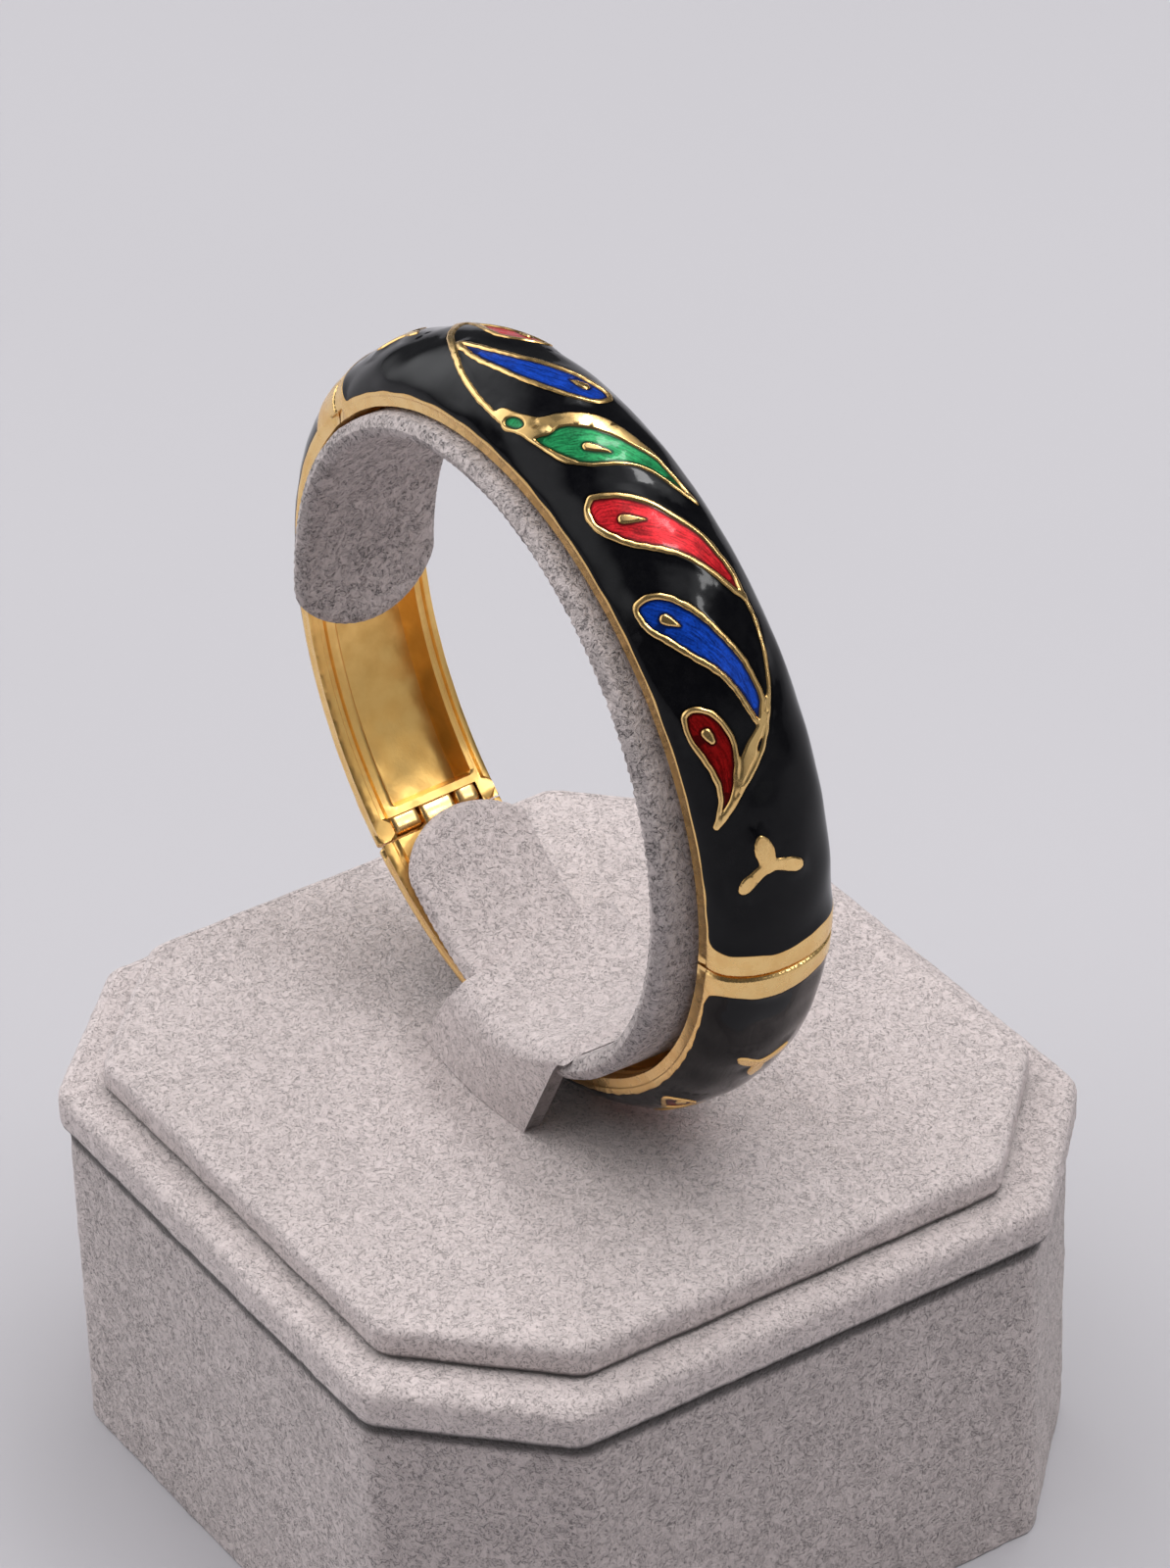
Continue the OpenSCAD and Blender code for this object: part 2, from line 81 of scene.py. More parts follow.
def ripple(u, v, wave, seed):
    """Seeded unevenness of about one wave length, mostly between -1 and 1."""
    rng = random.Random(seed)
    total = 0.0
    for _ in range(7):
        way = rng.uniform(0, 2 * math.pi)
        k = 2 * math.pi / (wave * rng.uniform(0.6, 1.7))
        total = total + np.sin(k * (u * math.cos(way) + v * math.sin(way)) + rng.uniform(0, 6.28))
    return total / 3.2


def step_between(x, low, high):
    """Smooth step from 0 at low to 1 at high."""
    t = unit((x - low) / (high - low))
    return t * t * (3 - 2 * t)


def soft_max(a, b, k):
    """The larger of two fields, with a fillet where they cross."""
    h = np.maximum(k - np.abs(a - b), 0) / k
    return np.maximum(a, b) + h * h * k / 4


def rounded(points, closed=True, spacing=0.15):
    """Catmull-Rom curve through points, as evenly spaced points."""
    p = np.asarray(points, float)
    n = len(p)
    out = []
    for i in range(n if closed else n - 1):
        take = [(i + k) % n if closed else min(max(i + k, 0), n - 1) for k in (-1, 0, 1, 2)]
        a, b, c, d = p[take]
        count = max(2, int(np.linalg.norm((c - b)[:2]) / spacing))
        for t in np.arange(count) / count:
            out.append(0.5 * (2 * b + (c - a) * t + (2 * a - 5 * b + 4 * c - d) * t * t
                              + (3 * b - a - 3 * c + d) * t ** 3))
    if not closed:
        out.append(p[-1])
    return np.array(out)


def even_loop(points, spacing):
    """The same closed line with its points a spacing apart."""
    q = np.vstack([points, points[:1]])
    run = np.concatenate([[0], np.cumsum(np.linalg.norm(np.diff(q, axis=0), axis=1))])
    count = max(8, int(round(run[-1] / spacing)))
    at = np.arange(count) / count * run[-1]
    return np.stack([np.interp(at, run, q[:, k]) for k in range(q.shape[1])], axis=1)


def around(n):
    """Pairs of neighbours in a closed ring of n points."""
    return [(i, (i + 1) % n) for i in range(n)]


def to_line(u, v, a, b):
    """Where the nearest point from a to b lies, from 0 to 1, and how far away it is."""
    d = b[:2] - a[:2]
    t = unit(((u - a[0]) * d[0] + (v - a[1]) * d[1]) / max(float(d @ d), 1e-12))
    return t, np.hypot(u - a[0] - t * d[0], v - a[1] - t * d[1])


def stroke_field(u, v, line):
    """Distance inside a stroke, given as points with a half width each."""
    best = np.full(u.shape, -1e9)
    for a, b in zip(line[:-1], line[1:]):
        t, far = to_line(u, v, a, b)
        best = np.maximum(best, a[2] + t * (b[2] - a[2]) - far)
    return best


def outline_field(u, v, loop):
    """Distance inside a closed outline, negative outside it."""
    far = np.full(u.shape, 1e9)
    inside = np.zeros(u.shape, bool)
    for a, b in zip(loop, np.roll(loop, -1, axis=0)):
        far = np.minimum(far, to_line(u, v, a, b)[1])
        if a[1] != b[1]:
            d = b - a
            inside ^= ((a[1] > v) != (b[1] > v)) & (u < d[0] * (v - a[1]) / d[1] + a[0])
    return np.where(inside, far, -far)


class Field:
    """A distance field on an even grid over the unrolled dome."""

    def __init__(self, u_span, v_span, cell):
        self.cell = cell
        self.u = np.arange(u_span[0], u_span[1] + cell, cell)
        self.v = np.arange(v_span[0], v_span[1] + cell, cell)
        self.gu, self.gv = np.meshgrid(self.u, self.v, indexing="ij")
        self.value = np.full(self.gu.shape, -2.0)

    def window(self, points, margin=1.3):
        """Part of the grid round some points."""
        lo, hi = points[:, :2].min(axis=0) - margin, points[:, :2].max(axis=0) + margin
        i = np.clip(np.searchsorted(self.u, [lo[0], hi[0]]), 0, len(self.u))
        j = np.clip(np.searchsorted(self.v, [lo[1], hi[1]]), 0, len(self.v))
        return np.s_[i[0]:i[1], j[0]:j[1]]

    def at(self, u, v, value=None):
        """Field, or another value on its grid, at any places."""
        x = np.clip((np.asarray(u) - self.u[0]) / self.cell, 0, len(self.u) - 1.001)
        y = np.clip((np.asarray(v) - self.v[0]) / self.cell, 0, len(self.v) - 1.001)
        i, j = x.astype(int), y.astype(int)
        x, y = x - i, y - j
        f = self.value if value is None else value
        return ((1 - x) * (1 - y) * f[i, j] + x * (1 - y) * f[i + 1, j]
                + (1 - x) * y * f[i, j + 1] + x * y * f[i + 1, j + 1])

    def contours(self, level):
        """Closed lines along which the field has one value."""
        f = self.value - level
        f = np.where(f == 0, 1e-9, f)
        on = f > 0
        mixed = np.argwhere((on[:-1, :-1] != on[1:, :-1]) | (on[:-1, :-1] != on[:-1, 1:])
                            | (on[:-1, :-1] != on[1:, 1:]))
        after = {}
        for i, j in mixed.tolist():
            a, b, c, d = on[i, j], on[i + 1, j], on[i + 1, j + 1], on[i, j + 1]
            low, right, top, left = (i, j, 0), (i + 1, j, 1), (i, j + 1, 0), (i, j, 1)
            if a == c and b == d:
                middle = f[i, j] + f[i + 1, j] + f[i + 1, j + 1] + f[i, j + 1] > 0
                if a:
                    links = [(low, right), (top, left)] if middle else [(low, left), (top, right)]
                else:
                    links = [(right, top), (left, low)] if middle else [(right, low), (left, top)]
            else:
                ring = [(low, a, b), (right, b, c), (top, c, d), (left, d, a)]
                start = [e for e, p, q in ring if p and not q][0]
                end = [e for e, p, q in ring if q and not p][0]
                links = [(start, end)]
            for start, end in links:
                after[start] = end

        def place(e):
            i, j, up = e
            k, m = (i, j + 1) if up else (i + 1, j)
            t = f[i, j] / (f[i, j] - f[k, m])
            return (self.u[i] + t * (self.u[k] - self.u[i]),
                    self.v[j] + t * (self.v[m] - self.v[j]))

        loops = []
        while after:
            first, here = after.popitem()
            loop = [place(first)]
            while here != first and here in after:
                loop.append(place(here))
                here = after.pop(here)
            if here == first and len(loop) > 5:
                loops.append(np.array(loop))
        return loops


class Sieve:
    """Keeps loose points that are not too close to fixed loops or to those kept before."""

    def __init__(self, cell, fixed=()):
        self.cell, self.bins, self.points = cell, {}, []
        for loop in fixed:
            self.add(loop, 1e-4)
        self.points.clear()

    def add(self, points, clear):
        """Adds the points that have no other one closer than the clearance."""
        reach = int(clear // self.cell) + 1
        near = range(-reach, reach + 1)
        for p in np.asarray(points).tolist():
            x, y = int(p[0] // self.cell), int(p[1] // self.cell)
            if not any((q[0] - p[0]) ** 2 + (q[1] - p[1]) ** 2 < clear * clear for i in near
                       for j in near for q in self.bins.get((x + i, y + j), ())):
                self.bins.setdefault((x, y), []).append(p)
                self.points.append(p)

    def add_contours(self, field, rows):
        """Adds a field's contours, given as level, spacing of the points and clearance."""
        for level, spacing, clear in rows:
            for loop in field.contours(level):
                self.add(even_loop(loop, spacing), clear)

    def add_lattice(self, lo, hi, pitch, clear):
        """Adds rows of points that make nearly equal triangles."""
        self.add([(u, v) for i, v in enumerate(np.arange(lo[1], hi[1], pitch * 0.87))
                  for u in np.arange(lo[0] + (i % 2) * pitch / 2, hi[0], pitch)], clear)

    def kept(self, field, low):
        """The loose points at which a field, given as a function, is over a value."""
        points = np.array(self.points)
        return points[field(*points.T) > low]


def triangulated(loops, extra):
    """Triangles between closed loops and loose points, and the set of edges that the loops keep."""
    edges, n = [], 0
    for loop in loops:
        edges += [(n + i, n + k) for i, k in around(len(loop))]
        n += len(loop)
    flat = [Vector(p) for p in np.vstack([*loops, extra]).tolist()]
    verts, cut, faces, came, cut_from, _ = delaunay_2d_cdt(flat, edges, [], 0, 1e-7)
    kept = {tuple(sorted(e)) for e, origin in zip(cut, cut_from) if origin}
    new = {k: i for i, old in enumerate(came) for k in old}
    verts = np.array([(v[0], v[1]) for v in verts])
    faces = np.array([f for f in faces if len(f) == 3])
    a, b, c = (verts[faces[:, k]] for k in range(3))
    turn = np.cross(b - a, c - a)
    faces[turn < 0] = faces[turn < 0][:, ::-1]
    return verts, faces[np.abs(turn) > 1e-9], kept, new


def filled(outline, extra):
    """Points and triangles inside one closed outline, and its own points' new numbers."""
    verts, faces, _, new = triangulated([outline], extra)
    inside = outline_field(*verts[faces].mean(axis=1).T, outline) > 0
    return verts, faces[inside], new


def regions(faces, kept):
    """Number of the region each triangle lies in, where kept edges part the regions."""
    across = {}
    for f, tri in enumerate(faces.tolist()):
        for a, b in zip(tri, tri[1:] + tri[:1]):
            across.setdefault((min(a, b), max(a, b)), []).append(f)
    near = [[] for _ in faces]
    for edge, both in across.items():
        if len(both) == 2 and edge not in kept:
            near[both[0]].append(both[1])
            near[both[1]].append(both[0])
    label, count = np.full(len(faces), -1), 0
    for start in range(len(faces)):
        if label[start] >= 0:
            continue
        label[start], stack = count, [start]
        while stack:
            for g in near[stack.pop()]:
                if label[g] < 0:
                    label[g] = count
                    stack.append(g)
        count += 1
    return label, count


def rim_edges(faces):
    """Directed edges that belong to one triangle only."""
    seen = {}
    for tri in faces.tolist():
        for a, b in zip(tri, tri[1:] + tri[:1]):
            if not seen.pop((b, a), False):
                seen[(a, b)] = True
    return list(seen)


def unit_rows(rows):
    """Brings each row to a length of 1."""
    return rows / np.linalg.norm(rows, axis=-1, keepdims=True)


class Skin:
    """Collects the points and faces of one closed piece."""

    def __init__(self):
        self.points, self.faces, self.slots, self.extra = [], [], [], {}
        self.count, self.facing = 0, None

    def add(self, points, faces, slot=0, flip=False, **values):
        """Adds points (millimetres) and faces that number them, with a value for each point."""
        start = self.count
        self.points.append(points)
        self.count += len(points)
        self.join([[start + int(i) for i in f][::-1 if flip else 1] for f in faces], slot)
        for name, value in values.items():
            self.extra.setdefault(name, []).append((start, value))
        return start

    def join(self, faces, slot=0):
        """Adds faces between points that are there already."""
        self.faces += faces
        self.slots += [slot] * len(faces)

    def wall(self, upper, lower, edges):
        """Adds the faces between two rings of points, given as pairs of start and end."""
        self.join([[upper + a, upper + b, lower + d, lower + c] for (a, b), (c, d) in edges])

    def shown(self, name, finishes, sharp=50.0):
        """Makes the mesh object, in metres."""
        mesh = bpy.data.meshes.new(name)
        mesh.from_pydata((np.vstack(self.points) * MM).tolist(), [], self.faces)
        for label in finishes:
            mesh.materials.append(finish(label))
        mesh.polygons.foreach_set("material_index", self.slots)
        for key, parts in self.extra.items():
            width = 1 if parts[0][1].ndim == 1 else parts[0][1].shape[1]
            data = np.zeros((self.count, width))
            for start, value in parts:
                data[start:start + len(value)] = value.reshape(len(value), width)
            kind, field = ("FLOAT", "value") if width == 1 else ("FLOAT_VECTOR", "vector")
            mesh.attributes.new(key, kind, "POINT").data.foreach_set(field, data.ravel())
        mesh.shade_smooth()
        mesh.set_sharp_from_angle(angle=math.radians(sharp))
        if self.facing:
            # the first faces are the top, whose true directions are known
            count, facing = self.facing
            own = np.zeros((len(mesh.loops), 3))
            corners = np.array([i for f in self.faces[:count] for i in f])
            own[:len(corners)] = facing[corners]
            mesh.normals_split_custom_set(own.tolist())
        obj = bpy.data.objects.new(name, mesh)
        bpy.context.scene.collection.objects.link(obj)
        return obj


# The bangle's own space


def ring_point(angle, r, y):
    """Point of the leaning bangle from its angle in degrees, radius and place across."""
    a = np.radians(angle)
    z = r * np.sin(a)
    return np.stack([r * np.cos(a) + 0 * y, y * math.cos(LEAN) - z * math.sin(LEAN),
                     RING_Z + y * math.sin(LEAN) + z * math.cos(LEAN)], axis=-1)


def holder_point(angle, r, y):
    """Point of the upright holder, which is turned a little about the upright."""
    a, y = np.radians(angle), y - HOLDER_Y
    x, c, s = r * np.cos(a), math.cos(HOLDER_TURN), math.sin(HOLDER_TURN)
    return np.stack([x * c - y * s, x * s + y * c, RING_Z + r * np.sin(a) + 0 * x], axis=-1)


class Dome:
    """Outside of the bangle: u runs along it, s over it from side to side, h stands up from it."""

    def __init__(self, sizes):
        self.half = sizes.half_width / MM
        self.side_r = (sizes.inner_radius + sizes.side_height) / MM
        self.inner_r = sizes.inner_radius / MM
        rise = sizes.dome_rise / MM
        phi = np.linspace(-math.pi / 2, math.pi / 2, 1441)
        self.y, self.r = self.half * np.sin(phi), self.side_r + rise * np.cos(phi)
        run = np.concatenate([[0], np.cumsum(np.hypot(np.diff(self.y), np.diff(self.r)))])
        self.s = run - run[-1] / 2
        self.edge = run[-1] / 2
        n = np.hypot(rise * np.sin(phi), self.half * np.cos(phi))
        self.ny, self.nr = rise * np.sin(phi) / n, self.half * np.cos(phi) / n

    def flat(self, points):
        """Unrolls points given as angle and place across; further columns stay."""
        p = np.array(points, float)
        p[:, 0] *= DEG
        p[:, 1] = np.interp(p[:, 1], self.y, self.s)
        return p

    def across(self, s):
        """Straight place across, from the place along the curve."""
        return np.interp(s, self.s, self.y)

    def place(self, u, s, h):
        """Point in space of a place on the unrolled dome."""
        y, r = (np.interp(s, self.s, at) + h * np.interp(s, self.s, way)
                for at, way in ((self.y, self.ny), (self.r, self.nr)))
        return ring_point(u / DEG, r, y)


# Leaves of the front panel, as the outer edge of their gold wall (angle, place across), the seed in
# the head from its round end to its tip, and the middle line from the head to the tip.
FRONT_LEAVES = [
    ("red", [(114.2, 2.5), (110.1, 2.08), (105.8, 1.55), (102.4, 1.54), (99.8, 2.3), (98.2, 3.4),
             (97.7, 4.5), (99.2, 5.2), (102, 5.0), (106, 4.3), (110.5, 3.4)],
     (101.3, 4.25, 104.0, 3.8), [(99.5, 3.9), (106, 2.9), (113.5, 2.5)]),
    ("blue", [(105.3, -0.9), (101.5, -0.45), (98, 0), (94.5, 0.75), (91.3, 1.7), (88.4, 2.65),
              (85.4, 3.5), (82, 4.1), (79.9, 3.8), (79.3, 2.6), (80.5, 1.3), (84, -0.13),
              (88.9, -1.3), (93.3, -1.83), (98.2, -2.13), (102.5, -1.9), (105.3, -1.4)],
     (82.7, 2.75, 85.6, 1.95), [(81.5, 2.9), (91, 0.1), (98, -1.1), (105.5, -1.2)]),
    ("green", [(87.1, -4.44), (86.8, -3.92), (83.8, -3.37), (81.4, -2.61), (80.3, -1.37),
               (78.9, 0), (76.7, 1.47), (72.8, 2.53), (68.2, 3.34), (63.5, 3.79), (59, 4.24),
               (61.7, 3.05), (66, 1.57), (68.1, 0.02), (69.9, -1.99), (72.5, -3.43),
               (75.5, -3.98), (78.5, -4.3), (81.8, -4.6), (84.1, -4.95)],
     (74.0, -1.78, 70.7, -0.04), [(77, -3.2), (73.5, 0.0), (67, 2.4), (59.5, 4.1)]),
    ("red", [(64.6, -4.57), (66.3, -3.74), (65.9, -2.86), (64.1, -1.16), (61.6, 0.33),
             (58.7, 1.52), (55.1, 2.84), (51.1, 3.59), (47.7, 3.91), (44.5, 3.68), (45.6, 2.85),
             (49.1, 1.6), (52.1, 0.3), (54.3, -1.15), (56.6, -2.87), (59, -3.9), (61.7, -4.6)],
     (61.5, -3.01, 59.5, -0.99), [(62.8, -3.7), (59.5, -1.0), (53.5, 2.0), (45, 3.5)]),
    ("blue", [(49, -5.07), (50.1, -4.49), (49.9, -3.28), (48.2, -1.99), (45.3, -0.75),
              (41.9, 0.21), (37.5, 1.24), (33.6, 1.59), (30.9, 1.61), (28.4, 0.77),
              (28.5, 0.11), (31.2, -0.39), (33.4, -0.74), (36.7, -1.62), (40.2, -3.12),
              (43.3, -4.2), (45.9, -4.95)],
     (46.7, -3.74, 44.4, -2.65), [(47.8, -4.2), (44, -2.2), (37, 0.0), (28.7, 0.5)]),
    ("dark_red", [(32.4, -5.04), (33.5, -4.64), (33.6, -3.95), (32.2, -2.82), (29.3, -2.05),
                  (26.2, -1.94), (22.8, -2.42), (19.5, -3.25), (16.3, -4.93), (20, -4.35),
                  (23.2, -4.28), (26.2, -4.66), (29.6, -5.08)],
     (30.4, -3.95, 27.8, -3.45), [(32, -4.2), (26, -3.2), (21, -3.6), (17, -4.7)]),
]
# Enamel of the green leaf, whose wall is wide on one side, and the small lobe at its head
GREEN_CELL = [(78.8, -3.98), (78, -3.07), (77.9, -1.88), (76.1, -0.46), (73.3, 0.96),
              (70.4, 1.98), (67.4, 3.03), (60.6, 3.98), (63.8, 2.73), (67.3, 0.78),
              (69.8, -1.8), (73.4, -3.11), (76.9, -3.85)]
GREEN_LOBE = [(84.9, -4.3), (84.2, -3.85), (82.9, -3.65), (81.8, -3.85), (82.1, -4.3),
              (83.3, -4.6), (84.5, -4.65)]

# Small hollow in the gold between the green leaf and its lobe
PIT = [(81.2, -3.3, 0.24), (78.5, -2.8, 0.24)]

# Stems and sprigs: strokes of angle, place across and half width
FRONT_STROKES = [
    [(114.6, 2.7, 0.3), (113.6, 1.7, 0.4), (112.3, 0.97, 0.36), (108.9, -0.71, 0.34),
     (103.7, -2.27, 0.3), (98.9, -3.43, 0.28), (93.9, -4.25, 0.27), (89.7, -4.56, 0.26),
     (85.9, -4.67, 0.25)],
    [(44.9, 3.67, 0.22), (41, 3.66, 0.2), (37.7, 3.35, 0.19), (33.9, 2.71, 0.19),
     (31, 2.01, 0.2), (27.6, 0.95, 0.21), (24.4, -0.29, 0.2), (21, -2.3, 0.19),
     (18.3, -3.73, 0.2), (16.3, -4.79, 0.22)],
    [(29.0, 1.2, 0.2), (26.6, -0.4, 0.42), (24.8, -1.3, 0.55), (23.0, -1.95, 0.3),
     (21.0, -2.7, 0.15)],
    [(8.9, -1.6, 0.48), (9.9, -1.65, 0.68), (11.1, -1.75, 0.82), (12.3, -1.85, 0.66),
     (13.1, -1.9, 0.35)],
    [(9.0, -1.7, 0.48), (8.2, -2.5, 0.52), (7.3, -3.2, 0.6), (6.6, -3.6, 0.52), (6.1, -3.8, 0.35)],
    [(9.0, -1.5, 0.48), (8.7, -0.6, 0.5), (8.1, 0.2, 0.6), (7.6, 0.8, 0.58), (7.3, 1.1, 0.4)],
    [(122.3, -0.6, 0.3), (121.2, -0.6, 0.45), (120, -0.6, 0.5), (118.6, -0.7, 0.1)],
    [(122.3, -0.6, 0.3), (123.4, -1.4, 0.4), (124.8, -2.3, 0.3), (125.6, -2.6, 0.1)],
    [(122.3, -0.6, 0.3), (123.2, 0.5, 0.4), (124.2, 1.5, 0.3), (124.9, 1.9, 0.1)],
]

# Leaves of the hidden panels: head, tip, head radius and bow
LOWER_LEAVES = [
    ("dark_red", -46.9, -4.1, -51.3, -4.35, 0.95, 0.10),
    ("blue", -60.5, -1.10, -47.5, 3.60, 1.50, -0.80),
    ("red", -76.0, -1.60, -58.5, 3.60, 1.65, -0.80),
    ("green", -90.0, 1.60, -107.0, -3.20, 1.65, -0.80),
    ("blue", -104.0, 3.30, -117.0, 0.40, 1.20, -0.60),
]
BACK_LEAVES = [
    ("red", 161.0, 3.20, 148.5, 0.20, 1.20, -0.60),
    ("blue", 174.0, 1.60, 157.0, -3.20, 1.65, -0.80),
    ("green", 188.0, -1.60, 205.0, 3.20, 1.65, -0.80),
    ("dark_red", 202.0, -3.20, 214.5, -0.20, 1.20, -0.60),
]
LOWER_STROKES = [
    [(-47.5, 3.6, 0.25), (-46.3, 3.85, 0.22), (-45.0, 3.95, 0.18), (-43.8, 3.9, 0.12)],
    [(-107.0, -3.2, 0.22), (-110.5, -2.6, 0.22), (-114.0, -1.4, 0.22), (-117.2, 0.6, 0.25)],
]
BACK_STROKES = [
    [(157.0, -3.2, 0.22), (153.0, -2.8, 0.22), (150.5, -1.4, 0.22), (148.2, 0.3, 0.25)],
    [(205.0, 3.2, 0.22), (209.0, 2.8, 0.22), (211.5, 1.4, 0.22), (214.8, -0.3, 0.25)],
]


def sprig(angle, y, way):
    """Three strokes of a small sprig: a bud and two curved petals."""
    shapes = [[(0, 0, 0.4), (1, 0, 0.6), (2.2, 0, 0.68), (3.8, 0, 0.25)],
              [(0, 0, 0.4), (-0.9, -0.9, 0.5), (-2.0, -1.7, 0.48), (-2.8, -2.1, 0.25)],
              [(0, 0, 0.4), (-0.4, 1.0, 0.5), (-1.4, 1.9, 0.48), (-2.1, 2.3, 0.25)]]
    return [[(angle + way * a, y + b, w) for a, b, w in line] for line in shapes]


def tabled_leaf(row):
    """Outline, seed and middle line of a leaf that is given by its head, tip, radius and bow."""
    colour, a0, y0, a1, y1, radius, bow = row
    head, tip = np.array([a0 * DEG, y0]), np.array([a1 * DEG, y1])
    way = (tip - head) / np.linalg.norm(tip - head)
    pull = (head + tip) / 2 + 2 * bow * np.array([way[1], -way[0]])

    def along(t):
        return (1 - t) ** 2 * head + 2 * t * (1 - t) * pull + t * t * tip

    def heading(t):
        d = (1 - t) * (pull - head) + t * (tip - pull)
        return d / np.linalg.norm(d)

    def side(way):
        return [along(t) + way * (radius * (1 - t ** 2.2) + 0.25)
                * np.array([-heading(t)[1], heading(t)[0]]) for t in (0.18, 0.38, 0.58, 0.78, 0.92)]

    def back(points):
        return [(x / DEG, y) for x, y in points]

    start = heading(0)
    turn, r = math.atan2(start[1], start[0]), radius + 0.25
    arc = [head + r * np.array([math.cos(turn + k), math.sin(turn + k)])
           for k in np.radians(90 + 30 * np.arange(7))]
    loop = arc + side(-1) + [tip + 0.35 * heading(1)] + side(1)[::-1]
    (x0, y0), (x1, y1) = back([head - 0.7 * way, head + 0.8 * way])
    return colour, back(loop), (x0, y0, x1, y1), back(along(t) for t in np.linspace(0, 1, 6))


PANELS = {
    "front": dict(
        body="front", ends=(-9.0, 134.85), seed=11, leaves=FRONT_LEAVES, strokes=FRONT_STROKES,
        field=[(129.9, -5.86), (131.3, -5.45), (132.6, -4.6), (133.2, -3.4), (133.3, 0),
               (133.2, 3.4), (132.6, 4.6), (131.3, 5.45), (129.9, 5.86), (60, 5.86), (-2.6, 5.86),
               (-4.2, 5.7), (-4.9, 5.1), (-4.8, 3.3), (-5.3, 0.9), (-5.6, -1.3), (-5.1, -3.5),
               (-5.0, -5.0), (-4.2, -5.75), (-2.6, -5.86), (60, -5.86)],
        pocket=(-5.7, 131.6), column=2.0),
    "lower": dict(
        body="stand", ends=(-132.3, -9.6), seed=23,
        leaves=[tabled_leaf(row) for row in LOWER_LEAVES],
        strokes=LOWER_STROKES + sprig(-31, -0.6, -1) + sprig(-121, -0.4, 1),
        field=[(-13.0, 5.2), (-12.9, 3.4), (-13.4, 0.4), (-13.6, -2.4), (-13.2, -4.1),
               (-13.2, -5.2), (-14.2, -5.75), (-16, -5.84), (-53, -5.8), (-90, -5.82),
               (-127.6, -5.8), (-129.2, -5.3), (-129.9, -4.2), (-130.0, 0), (-129.9, 4.2),
               (-129.2, 5.3), (-127.6, 5.8), (-90, 5.82), (-16, 5.84), (-13.9, 5.75)],
        pocket=(-129.2, -12.9), column=2.0),
    "back": dict(
        body="back", ends=(135.2, 227.37), seed=37,
        leaves=[tabled_leaf(row) for row in BACK_LEAVES],
        strokes=BACK_STROKES + sprig(144.5, -0.6, -1) + sprig(218.5, -0.4, 1),
        field=[(142.0, 0), (142.1, 4.0), (142.7, 5.3), (144.2, 5.82), (180, 5.84), (218.6, 5.82),
               (220.2, 5.3), (220.8, 4.0), (220.9, 0), (220.8, -4.0), (220.2, -5.3), (218.6, -5.82),
               (180, -5.84), (144.2, -5.82), (142.7, -5.3), (142.1, -4.0)],
        pocket=(140.1, 222.5), column=0.9),
}
# How far the hinge recesses reach into the back panel, and half their width
NOTCH, NOTCH_HALF = {"back": (138.85, 223.8)}, 4.4
# Places across of the points on a panel's inner face: close to each other at rims and grooves
INNER_ROWS = (-5.78, -5.4, -5.05, -4.88, -4.52, -4.36, -3.95, -3.6, -3.4, -3.1, -2.8, -2.6, -2.1,
              -1.4, -0.7, 0, 0.7, 1.4, 2.1, 2.8, 3.5, 3.95, 4.1, 4.25, 4.45, 4.82, 4.98, 5.17, 5.33,
              5.78)
# What a triangle of a panel belongs to; a leaf has its own number instead
OUTSIDE, GOLD, GROUND = -9, -2, -1


def eased(loop):
    """Adds points near the ends of long sides, where a rounded outline would swing out."""
    points, near, next_near = [], 0.7, 2.0
    for p, q in zip(loop, np.roll(loop, -1, axis=0)):
        points.append(p)
        length = float(np.linalg.norm(q - p))
        if length > 4:
            points += [p + (q - p) * t / length
                       for t in (near, next_near, length - next_near, length - near)]
    return np.array(points)


def gold_field(dome, part):
    """Distance field that is positive in the gold, and each leaf's own outline and middle line."""
    lo, hi = part["ends"][0] * DEG, part["ends"][1] * DEG
    f = Field((lo - 0.5, hi + 0.5), (-dome.edge - 0.3, dome.edge + 0.3), 0.07)
    bed = rounded(eased(dome.flat(part["field"])), spacing=0.4)
    f.bed = -outline_field(f.gu, f.gv, bed)
    f.bed += 0.05 * ripple(f.gu, f.gv, 2.6, part["seed"])
    f.lines = np.full(f.gu.shape, -2.0)
    f.leaves = []
    for k, (colour, outer, seed, middle) in enumerate(part["leaves"]):
        small = colour == "dark_red"
        loop = rounded(dome.flat(outer))
        w = f.window(loop)
        u, v = f.gu[w], f.gv[w]
        shape = outline_field(u, v, loop)
        wobble = 0.035 * ripple(u, v, 1.3, part["seed"] + k)
        cell = shape - (0.42 if small else 0.5) + wobble
        if part is PANELS["front"] and colour == "green":
            body = outline_field(u, v, rounded(dome.flat(GREEN_CELL))) + wobble
            lobe = outline_field(u, v, rounded(dome.flat(GREEN_LOBE))) + 0.3 * wobble
            cell = np.maximum(np.minimum(body, shape - 0.36 + wobble),
                              np.minimum(lobe, shape - 0.2))
        wall = np.minimum(shape + wobble, -cell)
        start, end = dome.flat([seed[:2], seed[2:]])
        tail = (0.75, 0.24) if small else (1.0, 0.07)
        pip = np.array([[*(start + t * (end - start)), width]
                        for t, width in ((0.28, 0.40), (0.5, 0.36), tail)])
        wall = np.maximum(wall, stroke_field(u, v, pip) + 0.4 * wobble)
        f.lines[w] = soft_max(f.lines[w], wall, 0.22)
        f.leaves.append((colour, loop, rounded(dome.flat(middle), closed=False, spacing=0.5)))
    for line in part["strokes"]:
        line = rounded(dome.flat(line), closed=False, spacing=0.25)
        w = f.window(line)
        uneven = 0.03 * ripple(f.gu[w], f.gv[w], 1.1, part["seed"] + 50)
        f.lines[w] = soft_max(f.lines[w], stroke_field(f.gu[w], f.gv[w], line) + uneven, 0.35)
    f.value = soft_max(f.lines, f.bed, 0.25)
    return f


